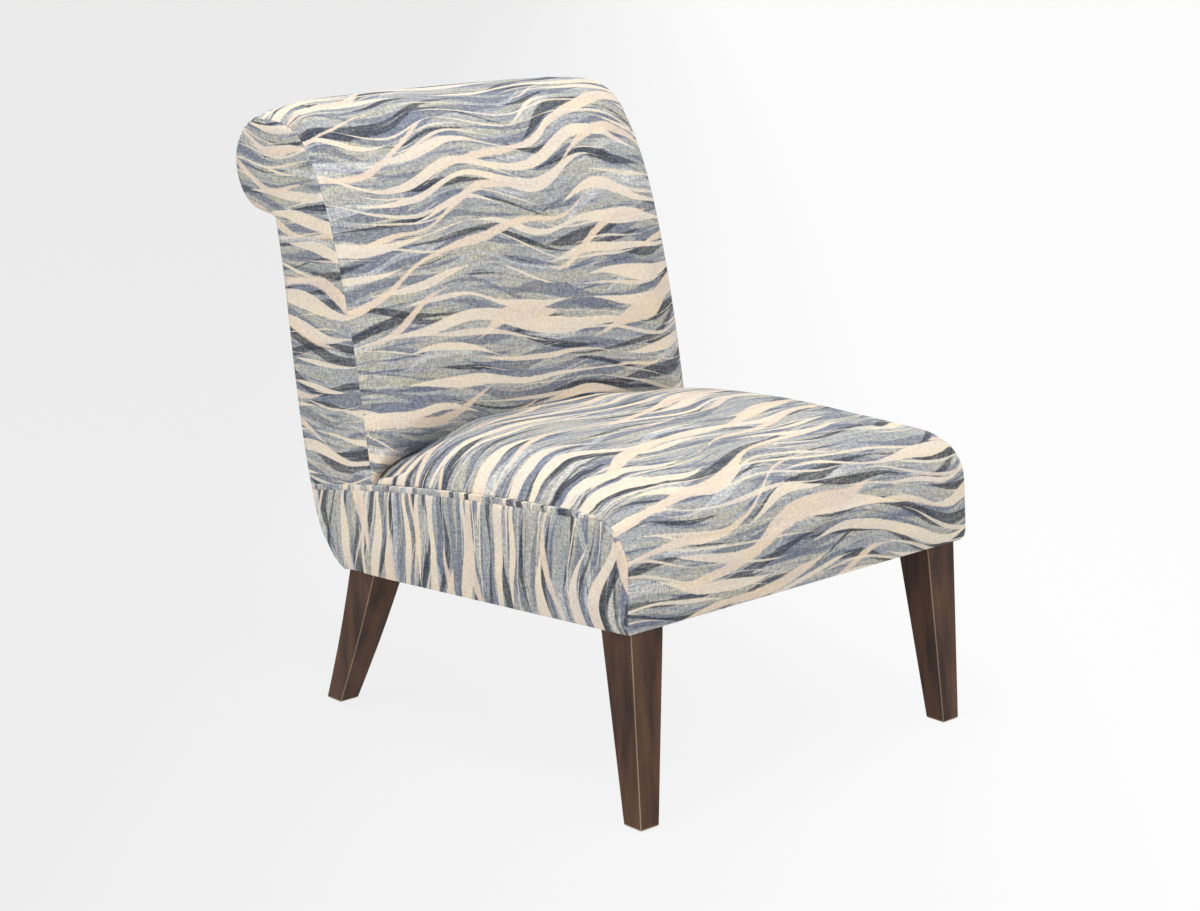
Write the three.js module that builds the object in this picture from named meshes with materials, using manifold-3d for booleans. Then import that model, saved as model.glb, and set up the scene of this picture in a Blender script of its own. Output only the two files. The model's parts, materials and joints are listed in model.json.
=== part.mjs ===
// A roll-back slipper chair: a sprung, upholstered seat without arms on four tapered legs,
// and a raked back whose top rolls over backwards in a scroll.
// Millimetres. x runs across the chair, y from the front feet to the rear, z up from the floor.

import * as THREE from 'three';
import { mergeVertices } from 'three/addons/utils/BufferGeometryUtils.js';
import Module from 'manifold-3d';

const wasm = await Module();
wasm.setup();

// Clearance between pieces that touch
const GAP = 0.3;
// How far a cutting tool runs past what it cuts
const OVERRUN = 5;

// Plan of the seat: the sides draw in towards the back
const SEAT_FRONT_WIDTH = 612;
const SEAT_REAR_WIDTH = 584;
const SEAT_FRONT_DEPTH = 15;
const SEAT_REAR_DEPTH = 597;

// Underside of the seat, which slopes down to the rear
const UNDERSIDE_FRONT_HEIGHT = 251;
const UNDERSIDE_REAR_HEIGHT = 202;

// Side seam of the seat: a welt from the rear edge to the rounded front corner
const WELT_REAR_REACH = 75;
const WELT_REAR_DEPTH = SEAT_REAR_DEPTH + WELT_REAR_REACH;
const WELT_REAR_HEIGHT = 306;
const SEAT_EDGE_HEIGHT = 387;
const SEAT_EDGE_RADIUS = 57;
const WELT_SHARES = [[0.333, 0.515], [0.667, 0.848]];
const WELT_RADIUS = 3;

// Swell of the seat's sides and front above the edge where the cover is drawn in under the rails
const SEAT_SWELL = 6;
const SWELL_EDGE_SHARE = 0.16;
const SWELL_TOP_SHARE = 0.5;
const SWELL_ROW_SHARES = [1, 0.5, 0.16, 0.05, 0];

// Crest of the seat in the middle of its width
const SEAT_CREST_RISE = 28;
const SEAT_CREST_HEIGHT = SEAT_EDGE_HEIGHT + SEAT_CREST_RISE;
const SEAT_CREST_RADIUS = 72;
const SEAT_CREST_REAR_DROP = 27;
const SEAT_FRONT_CROWN = 5;
const SEAT_CREST_SHARES = [[0.333, 1.2], [0.667, 1.54]];

// How the crown of every padded surface runs across the width
const CROWN_POWER = 5.5;
const CROWN_FULLNESS = 0.42;

// Inside back: where its side seam leaves the seat, and the handles of its rising curve
const BACK_FOOT_SETBACK = 67;
const BACK_FOOT_DEPTH = SEAT_REAR_DEPTH - BACK_FOOT_SETBACK;
const BACK_FACE_SHARES = [[0.18, 0.43], [0.5, 1]];
const BACK_CREST_PROUD = 13;
const BACK_CREST_SHARES = [[0.2, 0.42], [0.47, 1]];

// The roll at the top of the back: its side seam, its crest in the middle of the width, and the
// line below it where the cover is tucked in above the neck
const ROLL_REACH = 171;
const ROLL_DEPTH = SEAT_REAR_DEPTH + ROLL_REACH;
const ROLL_HEIGHT = 738;
const ROLL_RADIUS = 63;
const ROLL_FLAT = 56;
const ROLL_END_ANGLE = THREE.MathUtils.degToRad(-80);
const ROLL_CREST_SETBACK = 5;
const ROLL_CREST_RISE = 6;
const ROLL_CREST_RADIUS = 80;
const ROLL_CREST_FLAT = 60;
const ROLL_CREST_END_ANGLE = THREE.MathUtils.degToRad(-76);
const TUCK_SETBACK = 25.5;
const TUCK_DROP = 65.5;

// Rear edge of the back: from the neck under the roll, by the welt, to the underside
const NECK_SETBACK = 30;
const NECK_DROP = 70;
const REAR_UPPER_SHARES = [[0.333, 0.188], [0.455, 0.657]];
const REAR_LOWER_SHARES = [[0.2, 0.24], [0.36, 0.93]];
const OUTSIDE_BACK_CROWN = 4;

// Upholstery layers
const COVER = 1.6;
const PANEL = 6;
const BACK_FOAM = 44;
const ROLL_FOAM = 16;
const FRONT_LIP_FOAM = 7;
const FOAM_THINNING_SHARES = [0.5, 1];
const FOAM_FOOT_SHARE = 0.92;
const STRAP = 1.5;
const STRAP_COUNT = 3;
const DECK = 1.2;
const DUST_COVER = 1;
const DUST_COVER_INSET = 11;
const DUST_COVER_LEG_CLEARANCE = 3;

// Hardwood frame
const RAIL_THICKNESS = 18;
const RAIL_HEIGHT = 62;
const CORNER_BLOCK_SIZE = 52;
const CORNER_BLOCK_HEIGHT = 36;
const CORNER_BLOCK_CUT = 30;
const REAR_RAIL_SETBACK = 5;
const CREST_RAIL_WIDTH = 50;
const SCROLL_RAIL_WIDTH = 40;
const CROSS_BOARD_SHARES = [0.08, 0.92];

// Sinuous springs, with one clip at each end and a tie wire across them
const SPRING_COUNT = 4;
const SPRING_SPACING = 120;
const SPRING_WIDTH = 52;
const SPRING_WIRE_RADIUS = 1.9;
const SPRING_WAVE = 27;
const SPRING_ARCH = 12;
const SPRING_OVERHANG = 4.5;
const SPRING_END_ANGLE = Math.PI / 3;
const CLIP_THICKNESS = 1.2;
const CLIP_WIDTH = 12;
const CLIP_LENGTH = 17;
const TIE_WIRE_RADIUS = 1.2;

// Legs: square tapers, raked forwards at the front and swept back at the rear
const LEG_TOP_WIDTH = 54;
const LEG_TOP_INSET = 6;
const LEG_FOOT_WIDTH = 31;
const FRONT_LEG_TOP_DEPTH = 19;
const FRONT_FOOT_DEPTH = 0;
const REAR_LEG_SETBACK = 58;
const REAR_LEG_TOP_DEPTH = SEAT_REAR_DEPTH - REAR_LEG_SETBACK;
const REAR_FOOT_REACH = 25;
const REAR_LEG_SWEEP = 3;
const REAR_LEG_RING_SHARES = [0, 0.2, 0.4, 0.6, 0.8];
const LEG_CHAMFER = 1;

// Glides under the feet, and the bolts that hold the legs
const GLIDE_RADIUS = 10;
const GLIDE_FACE_RADIUS = 8;
const GLIDE_HEIGHT = 1.8;
const NAIL_RADIUS = 1.3;
const NAIL_LENGTH = 12;
const BOLT_RADIUS = 3.2;
const BOLT_LEG_LENGTH = 30;
const BOLT_END_LENGTH = 3;
const BOLT_TIP_RADIUS = 1.4;
const BOLT_POINT_LENGTH = 7;
const NUT_BARREL_RADIUS = 4.6;
const NUT_FLANGE_RADIUS = 9.5;
const NUT_FLANGE_THICKNESS = 1.6;
const NUT_BARREL_LENGTH = 11;
const NUT_EDGE_CLEARANCE = 1;

// Facets
const TURNED_SIDES = 12;
const NAIL_SIDES = 8;
const WIRE_SIDES = 5;
const SPRING_STEPS_PER_WAVE = 5;
const WELT_SIDES = 8;
const WELT_STEPS = 26;
const SEAT_ROWS = 7;
const SEAT_EDGE_ROWS = 7;
const BACK_ROWS = 9;
const ROLL_ROWS = 12;
const REAR_UPPER_ROWS = 7;
const REAR_LOWER_ROWS = 6;
const BORDER_COLUMNS = 8;
const BORDER_STEP_SHARE = 0.01;
const ACROSS_SHARES = [0, 0.3, 0.56, 0.76, 0.89, 0.965, 1];

const { lerp, smoothstep } = THREE.MathUtils;
const chair = new THREE.Group();

// Materials, one for each thing the chair is made of
const finish = (color, roughness, metalness) => ({ color, roughness, metalness });
const FABRIC = finish(0xb3b4b0, 0.9, 0);
const ESPRESSO_WOOD = finish(0x4b3a30, 0.45, 0);
const FRAME_WOOD = finish(0xc7a878, 0.75, 0);
const FOAM = finish(0xe9e2c6, 0.95, 0);
const STEEL = finish(0x9a9da1, 0.35, 0.9);
const WEBBING = finish(0x2f3338, 0.85, 0);
const CAMBRIC = finish(0x1f2124, 0.95, 0);
const CARDBOARD = finish(0x9c7f58, 0.9, 0);
const NYLON = finish(0x3a3632, 0.5, 0);

// Half of the chair's width at a depth
function halfWidth(y) {
  const share = (y - SEAT_FRONT_DEPTH) / (SEAT_REAR_DEPTH - SEAT_FRONT_DEPTH);
  return lerp(SEAT_FRONT_WIDTH, SEAT_REAR_WIDTH, share) / 2;
}

// Height of the seat's underside at a depth
function underside(y) {
  const share = (y - SEAT_FRONT_DEPTH) / (SEAT_REAR_DEPTH - SEAT_FRONT_DEPTH);
  return lerp(UNDERSIDE_FRONT_HEIGHT, UNDERSIDE_REAR_HEIGHT, share);
}

// How far the seat's surface stands out at a share of the height from its underside to its seam
function swell(share) {
  const edge = 1 - Math.min(share / SWELL_EDGE_SHARE, 1);
  return SEAT_SWELL * Math.sqrt(1 - edge * edge) * lerp(1, SWELL_TOP_SHARE, smoothstep(share, 0, 1));
}

// Profile points hold depth as x and height as y
const point = (depth, height) => new THREE.Vector2(depth, height);

// A curve between two profile points, its handles given as shares of the way between them
function profileCurve(start, end, handleShares) {
  const [first, second] = handleShares.map(([depthShare, heightShare]) =>
    point(lerp(start.x, end.x, depthShare), lerp(start.y, end.y, heightShare)));
  return new THREE.CubicBezierCurve(start, first, second, end);
}

// Points on a curve from one share of it to another
function rowsOf(curve, count, from = 0, to = 1) {
  return Array.from({ length: count }, (_, i) => curve.getPoint(lerp(from, to, i / (count - 1))));
}

// Points round an arc
function arcRows(centre, radius, startAngle, endAngle, count) {
  return Array.from({ length: count }, (_, i) => {
    const angle = lerp(startAngle, endAngle, i / (count - 1));
    return point(centre.x + radius * Math.cos(angle), centre.y + radius * Math.sin(angle));
  });
}

// A profile moved sideways, to the left of its direction, by one distance or by one for each row
function offsetRows(rows, distance) {
  return rows.map((row, i) => {
    const along = rows[Math.min(i + 1, rows.length - 1)].clone().sub(rows[Math.max(i - 1, 0)]);
    along.normalize();
    const step = Array.isArray(distance) ? distance[i] : distance;
    return point(row.x - along.y * step, row.y + along.x * step);
  });
}

// How far across its crown a padded surface has risen, from 0 at the seam to 1 in the middle
function crown(share) {
  return (1 - Math.abs(share) ** CROWN_POWER) ** CROWN_FULLNESS;
}

// Columns across the width, closer together towards the side seams
const COLUMNS = [...ACROSS_SHARES.slice(1).reverse().map((share) => -share), ...ACROSS_SHARES];

// Six times the volume that a triangle mesh encloses, negative when its faces point inwards
function signedVolume(position, index) {
  const corners = [new THREE.Vector3(), new THREE.Vector3(), new THREE.Vector3()];
  let sum = 0;
  for (let i = 0; i < index.length; i += 3) {
    corners.forEach((corner, k) => corner.fromBufferAttribute(position, index[i + k]));
    sum += corners[0].dot(corners[1].clone().cross(corners[2]));
  }
  return sum;
}

// Merges a geometry's vertices and turns its faces outwards
function closed(geometry) {
  geometry.deleteAttribute('normal');
  geometry.deleteAttribute('uv');
  const merged = mergeVertices(geometry);
  const index = Array.from(merged.index.array);
  if (signedVolume(merged.attributes.position, index) < 0) {
    index.reverse();
  }
  merged.setIndex(index);
  merged.computeVertexNormals();
  return merged;
}

function geometryFrom(points, index) {
  const geometry = new THREE.BufferGeometry();
  geometry.setFromPoints(points);
  geometry.setIndex(index);
  return closed(geometry);
}

function toSolid(geometry) {
  return new wasm.Manifold(new wasm.Mesh({
    numProp: 3,
    vertProperties: new Float32Array(geometry.attributes.position.array),
    triVerts: new Uint32Array(geometry.index.array),
  }));
}

// A geometry with others cut out of it
function cut(geometry, ...cutters) {
  let solid = toSolid(geometry);
  for (const cutter of cutters) {
    solid = solid.subtract(toSolid(closed(cutter)));
  }
  const mesh = solid.getMesh();
  const result = new THREE.BufferGeometry();
  result.setAttribute('position', new THREE.BufferAttribute(mesh.vertProperties, 3));
  result.setIndex(Array.from(mesh.triVerts));
  return closed(result);
}

// Moves every vertex of a geometry by a function of it
function reshape(geometry, move) {
  const position = geometry.attributes.position;
  const vertex = new THREE.Vector3();
  for (let i = 0; i < position.count; i++) {
    vertex.fromBufferAttribute(position, i);
    move(vertex);
    position.setXYZ(i, vertex.x, vertex.y, vertex.z);
  }
  return geometry;
}

// Lifts a geometry that is drawn on a level underside onto the seat's sloping one
function onUnderside(geometry) {
  return reshape(geometry, (vertex) => vertex.setZ(vertex.z + underside(vertex.y)));
}

// A profile of the chair's side run across the width, between two x values that follow the depth
function acrossFrom(rows, lowX, highX) {
  const section = new THREE.ExtrudeGeometry(new THREE.Shape(rows), { depth: 1, bevelEnabled: false });
  return closed(reshape(section, (vertex) => {
    const { x: depth, y: height, z: share } = vertex;
    vertex.set(lerp(lowX(depth), highX(depth), share), depth, height);
  }));
}

// A board or strap that crosses the chair, its ends a set distance inside the chair's sides
function crossMember(rows, inset) {
  return acrossFrom(rows, (y) => inset - halfWidth(y), (y) => halfWidth(y) - inset);
}

// A panel that lies in one side of the chair, from an outer to an inner distance inside it
function sideMember(rows, side, outerInset, innerInset) {
  const insideBy = (inset) => (y) => side * (halfWidth(y) - inset);
  return acrossFrom(rows, insideBy(outerInset), insideBy(innerInset));
}

// A closed pad between two grids of points of the same size
function padBetween(outer, inner) {
  const columns = outer.length;
  const rows = outer[0].length;
  const points = [...outer.flat(), ...inner.flat()];
  const at = (layer, i, j) => layer * columns * rows + i * rows + j;
  const index = [];
  const quad = (a, b, c, d) => index.push(a, b, c, a, c, d);
  for (let i = 0; i < columns - 1; i++) {
    for (let j = 0; j < rows - 1; j++) {
      // The diagonals mirror each other about the middle of the width
      const start = i < (columns - 1) / 2 ? 0 : 1;
      for (const layer of [0, 1]) {
        const corners = [[i, j], [i + 1, j], [i + 1, j + 1], [i, j + 1]].map((place) => at(layer, ...place));
        const turned = corners.map((_, k) => corners[(k + start) % corners.length]);
        quad(...(layer ? turned.reverse() : turned));
      }
    }
    quad(at(1, i, 0), at(1, i + 1, 0), at(0, i + 1, 0), at(0, i, 0));
    quad(at(0, i, rows - 1), at(0, i + 1, rows - 1), at(1, i + 1, rows - 1), at(1, i, rows - 1));
  }
  for (let j = 0; j < rows - 1; j++) {
    quad(at(0, 0, j), at(0, 0, j + 1), at(1, 0, j + 1), at(1, 0, j));
    quad(at(1, columns - 1, j), at(1, columns - 1, j + 1), at(0, columns - 1, j + 1), at(0, columns - 1, j));
  }
  return geometryFrom(points, index);
}

// A grid that spans the width between the profile at the side seams and the profile of the crest
function crownedGrid(seamRows, crestRows, inset) {
  return COLUMNS.map((share) => seamRows.map((seam, j) => {
    const row = seam.clone().lerp(crestRows[j], crown(share));
    const rowInset = Array.isArray(inset) ? inset[j] : inset;
    return new THREE.Vector3(share * (halfWidth(row.x) - rowInset), row.x, row.y);
  }));
}

function add(name, geometry, { color, roughness, metalness }) {
  const mesh = new THREE.Mesh(geometry, new THREE.MeshStandardMaterial({ color, roughness, metalness }));
  mesh.name = name;
  chair.add(mesh);
}

const SIDES = [['left', -1], ['right', 1]];

// Insets from the chair's sides
const FOAM_INSET = PANEL + GAP;
const FRAME_INNER_INSET = FOAM_INSET + RAIL_THICKNESS;
const CROSS_INSET = FRAME_INNER_INSET + GAP;
const STRAP_INSET = FOAM_INSET + GAP;
const UNDER_COVER = COVER + GAP;

// Side profiles of the rear edge, from the neck down
const neck = point(ROLL_DEPTH - NECK_SETBACK, ROLL_HEIGHT - NECK_DROP);
const weltRear = point(WELT_REAR_DEPTH, WELT_REAR_HEIGHT);
const seatRearCorner = point(SEAT_REAR_DEPTH, UNDERSIDE_REAR_HEIGHT);
const rearUpperRows = rowsOf(profileCurve(neck, weltRear, REAR_UPPER_SHARES), REAR_UPPER_ROWS);
const rearLowerRows = rowsOf(profileCurve(weltRear, seatRearCorner, REAR_LOWER_SHARES), REAR_LOWER_ROWS);
const rearRows = [...rearUpperRows, ...rearLowerRows.slice(1)];

// Side profiles of the seat, from under the back to the front and down to the underside
const seatFaceDepth = SEAT_FRONT_DEPTH - swell(1);
const seatEdgeCentre = point(seatFaceDepth + SEAT_EDGE_RADIUS, SEAT_EDGE_HEIGHT - SEAT_EDGE_RADIUS);
const seatEdgeTop = point(seatEdgeCentre.x, SEAT_EDGE_HEIGHT);
const weltCurve = profileCurve(weltRear, seatEdgeTop, WELT_SHARES);
const weltShareAt = (y) => (weltRear.x - y) / (weltRear.x - seatEdgeTop.x);

// Front of the back posts at seat level, where the seat's padding ends
const POST_FRONT_DEPTH = BACK_FOOT_DEPTH + BACK_FOAM;
const SEAT_PAD_REAR_DEPTH = POST_FRONT_DEPTH - 2 * COVER;

// The rounded edge's rows, then rows down the front face, which the crown pushes further out
function frontRows(edgeRows, frontCrown) {
  const top = edgeRows[edgeRows.length - 1];
  const face = SWELL_ROW_SHARES.slice(1).map((share) => point(
    SEAT_FRONT_DEPTH - swell(share) - frontCrown * Math.sin((share * Math.PI) / 2),
    lerp(UNDERSIDE_FRONT_HEIGHT, top.y, share),
  ));
  return [...edgeRows.slice(1), ...face];
}

const seatTopSeamRows = rowsOf(weltCurve, SEAT_ROWS, weltShareAt(SEAT_PAD_REAR_DEPTH), 1);
const seatEdgeSeamRows = arcRows(seatEdgeCentre, SEAT_EDGE_RADIUS, Math.PI / 2, Math.PI, SEAT_EDGE_ROWS);
const seatSeamRows = [...seatTopSeamRows, ...frontRows(seatEdgeSeamRows, 0)];

const seatCrestCentre = point(
  seatFaceDepth - SEAT_FRONT_CROWN + SEAT_CREST_RADIUS, SEAT_CREST_HEIGHT - SEAT_CREST_RADIUS);
const seatCrestCurve = profileCurve(
  point(SEAT_PAD_REAR_DEPTH, SEAT_CREST_HEIGHT - SEAT_CREST_REAR_DROP),
  point(seatCrestCentre.x, SEAT_CREST_HEIGHT),
  SEAT_CREST_SHARES,
);
const seatEdgeCrestRows = arcRows(seatCrestCentre, SEAT_CREST_RADIUS, Math.PI / 2, Math.PI, SEAT_EDGE_ROWS);
const seatCrestRows = [
  ...rowsOf(seatCrestCurve, SEAT_ROWS),
  ...frontRows(seatEdgeCrestRows, SEAT_FRONT_CROWN),
];

// Side profiles of the inside back, from the seat up the face and round the roll to the neck
const weltAtFoot = weltCurve.getPoint(weltShareAt(BACK_FOOT_DEPTH));
const crestFootDepth = BACK_FOOT_DEPTH - BACK_CREST_PROUD;
const crestAtFoot = seatCrestCurve.getPoint(
  (SEAT_PAD_REAR_DEPTH - crestFootDepth) / (SEAT_PAD_REAR_DEPTH - seatCrestCentre.x));
const backFoot = point(BACK_FOOT_DEPTH, weltAtFoot.y + WELT_RADIUS + UNDER_COVER);
const backCrestFoot = point(crestFootDepth, crestAtFoot.y + WELT_RADIUS + UNDER_COVER);

const tuck = point(ROLL_DEPTH - TUCK_SETBACK, ROLL_HEIGHT - TUCK_DROP);

function backRows(foot, shares, { centre, radius, flat, endAngle }) {
  const faceTop = point(centre.x - flat, centre.y + radius);
  const face = rowsOf(profileCurve(foot, faceTop, shares), BACK_ROWS);
  return [...face, ...arcRows(centre, radius, Math.PI / 2, endAngle, ROLL_ROWS - 1), tuck.clone()];
}

const backSeamRows = backRows(backFoot, BACK_FACE_SHARES, {
  centre: point(ROLL_DEPTH, ROLL_HEIGHT),
  radius: ROLL_RADIUS,
  flat: ROLL_FLAT,
  endAngle: ROLL_END_ANGLE,
});
const backCrestRows = backRows(backCrestFoot, BACK_CREST_SHARES, {
  centre: point(ROLL_DEPTH - ROLL_CREST_SETBACK, ROLL_HEIGHT + ROLL_CREST_RISE),
  radius: ROLL_CREST_RADIUS,
  flat: ROLL_CREST_FLAT,
  endAngle: ROLL_CREST_END_ANGLE,
});

// Depth of the back's padding behind its side seam at each row, thinner over the roll
const backPadding = backSeamRows.map((_, i) => {
  const share = smoothstep(i / (BACK_ROWS - 1), ...FOAM_THINNING_SHARES);
  return lerp(BACK_FOAM, ROLL_FOAM, share);
});
const behindPadding = (extra) => offsetRows(backSeamRows, backPadding.map((depth) => -(depth + extra)));
const postFaceRows = behindPadding(STRAP + 2 * GAP);
const postRearRows = offsetRows(rearRows, -(UNDER_COVER + GAP));

// Seat frame: rails and posts
const FRONT_RAIL_DEPTH = SEAT_FRONT_DEPTH + COVER + FRONT_LIP_FOAM;
const FRONT_RAIL_REAR = FRONT_RAIL_DEPTH + RAIL_THICKNESS;
const REAR_RAIL_REAR = SEAT_REAR_DEPTH - REAR_RAIL_SETBACK;
const REAR_RAIL_DEPTH = REAR_RAIL_REAR - RAIL_THICKNESS;
const FRONT_WIRE_DEPTH = FRONT_RAIL_REAR + SPRING_OVERHANG;
const REAR_WIRE_DEPTH = REAR_RAIL_DEPTH - SPRING_OVERHANG;
const CLIP_INNER_RADIUS = SPRING_WIRE_RADIUS + 2 * GAP;
const CLIP_OUTER_RADIUS = CLIP_INNER_RADIUS + CLIP_THICKNESS;
const WIRE_LIFT = RAIL_HEIGHT + GAP + CLIP_OUTER_RADIUS;

// Rise of the springs' arch above their ends at a depth
function springArch(y) {
  const share = THREE.MathUtils.clamp((y - FRONT_WIRE_DEPTH) / (REAR_WIRE_DEPTH - FRONT_WIRE_DEPTH), 0, 1);
  return 4 * SPRING_ARCH * share * (1 - share);
}

// Height of the deck's lower face, which passes over the clips and follows the springs' arch
const deckHeight = (y) => underside(y) + WIRE_LIFT + CLIP_OUTER_RADIUS + GAP + springArch(y);
const seatTopDepths = seatTopSeamRows.map((row) => row.x);
const seatEdgeDepths = seatEdgeSeamRows.slice(1).map((_, i) =>
  lerp(seatEdgeTop.x, FRONT_RAIL_DEPTH - GAP, (i + 1) / (SEAT_EDGE_ROWS - 1)));
const padDepths = [...seatTopDepths, ...seatEdgeDepths];

function sideRail(side) {
  const rear = POST_FRONT_DEPTH - COVER;
  const depths = [...padDepths.filter((y) => y < rear && y > FRONT_RAIL_DEPTH), FRONT_RAIL_DEPTH];
  const top = [rear, ...depths].map((y) => point(y, deckHeight(y) - GAP));
  const bottom = [FRONT_RAIL_DEPTH, rear].map((y) => point(y, underside(y)));
  return sideMember([...bottom, ...top], side, FOAM_INSET, FRAME_INNER_INSET);
}

function crossRail(low, high) {
  const rows = [point(low, 0), point(high, 0), point(high, RAIL_HEIGHT), point(low, RAIL_HEIGHT)];
  return onUnderside(crossMember(rows, CROSS_INSET));
}

function backPost(side) {
  const toe = postRearRows[postRearRows.length - 1];
  const front = postFaceRows[0];
  const foot = [toe, front].map((row) => point(row.x, underside(row.x)));
  const rows = [...postRearRows, ...foot, ...postFaceRows];
  return sideMember(rows, side, FOAM_INSET, FRAME_INNER_INSET);
}

// A flat board or strap laid against one straight stretch of a profile
function laidAgainst(rows, start, thickness, inset) {
  const ends = CROSS_BOARD_SHARES.map((share) => rows[start].clone().lerp(rows[start + 1], share));
  const back = offsetRows(ends, -thickness);
  return crossMember([...ends, ...back.reverse()], inset);
}

function crestRail() {
  const top = ROLL_HEIGHT + ROLL_RADIUS - ROLL_FOAM - STRAP - 3 * GAP;
  const middle = ROLL_DEPTH - ROLL_FLAT / 2;
  const [low, high] = [middle - CREST_RAIL_WIDTH / 2, middle + CREST_RAIL_WIDTH / 2];
  const rows = [[low, top - RAIL_THICKNESS], [high, top - RAIL_THICKNESS], [high, top], [low, top]];
  return crossMember(rows.map((row) => point(...row)), CROSS_INSET);
}

function scrollRail() {
  const reach = (ROLL_RADIUS - ROLL_FOAM - STRAP - 3 * GAP) * Math.cos(Math.PI / ROLL_ROWS / 2);
  const rear = ROLL_DEPTH + Math.sqrt(reach ** 2 - (SCROLL_RAIL_WIDTH / 2) ** 2);
  const [low, high] = [ROLL_HEIGHT - SCROLL_RAIL_WIDTH / 2, ROLL_HEIGHT + SCROLL_RAIL_WIDTH / 2];
  const rows = [[rear - RAIL_THICKNESS, low], [rear, low], [rear, high], [rear - RAIL_THICKNESS, high]];
  return crossMember(rows.map((row) => point(...row)), CROSS_INSET);
}

for (const [name, side] of SIDES) {
  add(`side_rail_${name}`, sideRail(side), FRAME_WOOD);
  add(`back_post_${name}`, backPost(side), FRAME_WOOD);
}
add('front_rail', crossRail(FRONT_RAIL_DEPTH, FRONT_RAIL_REAR), FRAME_WOOD);
add('rear_rail', crossRail(REAR_RAIL_DEPTH, REAR_RAIL_REAR), FRAME_WOOD);
add('crest_rail', crestRail(), FRAME_WOOD);
add('scroll_rail', scrollRail(), FRAME_WOOD);
add('neck_rail', laidAgainst(postRearRows, 0, RAIL_THICKNESS, CROSS_INSET), FRAME_WOOD);
add('lower_back_rail', laidAgainst(postFaceRows, 0, RAIL_THICKNESS, CROSS_INSET), FRAME_WOOD);

// Legs, with the bolts, nuts and glides that go with each
const CORNERS = [];
for (const [name, side] of SIDES) {
  CORNERS.push({
    name: `front_${name}`,
    side,
    top: FRONT_LEG_TOP_DEPTH,
    foot: FRONT_FOOT_DEPTH,
    sweep: 0,
    bolt: FRONT_RAIL_REAR + NUT_FLANGE_RADIUS + NUT_EDGE_CLEARANCE,
    block: [FRONT_RAIL_REAR + GAP, FRONT_RAIL_REAR + GAP + CORNER_BLOCK_SIZE],
  });
  CORNERS.push({
    name: `rear_${name}`,
    side,
    top: REAR_LEG_TOP_DEPTH,
    foot: SEAT_REAR_DEPTH + REAR_FOOT_REACH,
    sweep: REAR_LEG_SWEEP,
    bolt: REAR_RAIL_DEPTH - NUT_FLANGE_RADIUS - NUT_EDGE_CLEARANCE,
    block: [REAR_RAIL_DEPTH - GAP, REAR_RAIL_DEPTH - GAP - CORNER_BLOCK_SIZE],
  });
}
const LEG_BOTTOM = GLIDE_HEIGHT + GAP;
const legOuter = ({ top }) => halfWidth(top + LEG_TOP_WIDTH / 2) - LEG_TOP_INSET;
const boltX = ({ side, bolt }) =>
  side * (halfWidth(bolt) - FRAME_INNER_INSET - NUT_FLANGE_RADIUS - NUT_EDGE_CLEARANCE);

// Outline of a square with its corners taken off, as x and y pairs
function chamferedSquare(x, y, width, inset) {
  const [low, high, near, far] = [x + inset, x + width - inset, y + inset, y + width - inset];
  const c = LEG_CHAMFER;
  return [
    [low + c, near], [high - c, near], [high, near + c], [high, far - c],
    [high - c, far], [low + c, far], [low, far - c], [low, near + c],
  ];
}

// A solid through rings of points with the same count
function loftRings(rings) {
  const count = rings[0].length;
  const index = [];
  for (let r = 0; r < rings.length - 1; r++) {
    for (let k = 0; k < count; k++) {
      const [a, b] = [r * count + k, r * count + ((k + 1) % count)];
      index.push(a, b, b + count, a, b + count, a + count);
    }
  }
  const last = (rings.length - 1) * count;
  for (let k = 1; k < count - 1; k++) {
    index.push(0, k + 1, k, last, last + k, last + k + 1);
  }
  return geometryFrom(rings.flat(), index);
}

function leg(corner) {
  const { side, top, foot, sweep } = corner;
  const topSquare = chamferedSquare(legOuter(corner) - LEG_TOP_WIDTH, top, LEG_TOP_WIDTH, 0);
  const footX = legOuter(corner) - LEG_FOOT_WIDTH;
  const ring = (share, inset) => {
    const footSquare = chamferedSquare(footX, foot, LEG_FOOT_WIDTH, inset);
    return topSquare.map(([x, y], k) => new THREE.Vector3(
      side * lerp(x, footSquare[k][0], share),
      lerp(y, footSquare[k][1], share) - sweep * Math.sin(Math.PI * share),
      lerp(underside(y) - GAP, LEG_BOTTOM, share),
    ));
  };
  const chamferShare = 1 - LEG_CHAMFER / UNDERSIDE_REAR_HEIGHT;
  const shares = sweep ? REAR_LEG_RING_SHARES : [0];
  const sides = [...shares, chamferShare].map((share) => ring(share, 0));
  const shaft = loftRings([...sides, ring(1, LEG_CHAMFER)]);
  return cut(shaft, boltHole(corner), nailHole(corner));
}

const footCentre = (corner) => [
  corner.side * (legOuter(corner) - LEG_FOOT_WIDTH / 2),
  corner.foot + LEG_FOOT_WIDTH / 2,
];

function verticalRod(radius, sides, x, y, low, high) {
  const rod = new THREE.CylinderGeometry(radius, radius, high - low, sides);
  rod.rotateX(Math.PI / 2);
  return rod.translate(x, y, (low + high) / 2);
}

function boltHole(corner) {
  const low = underside(corner.bolt) - BOLT_LEG_LENGTH - 2 * GAP;
  const high = underside(corner.bolt) + OVERRUN;
  return verticalRod(BOLT_RADIUS + 2 * GAP, TURNED_SIDES, boltX(corner), corner.bolt, low, high);
}

function nailHole(corner) {
  const high = LEG_BOTTOM + NAIL_LENGTH + 2 * GAP;
  return verticalRod(NAIL_RADIUS + 2 * GAP, NAIL_SIDES, ...footCentre(corner), -OVERRUN, high);
}

// A round piece from radius and height pairs, standing on its axis
function turned(profile, sides, x, y, z) {
  const points = profile.map(([radius, height]) => new THREE.Vector2(radius, height));
  const geometry = new THREE.LatheGeometry(points, sides);
  geometry.rotateX(Math.PI / 2);
  return closed(geometry.translate(x, y, z));
}

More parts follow.
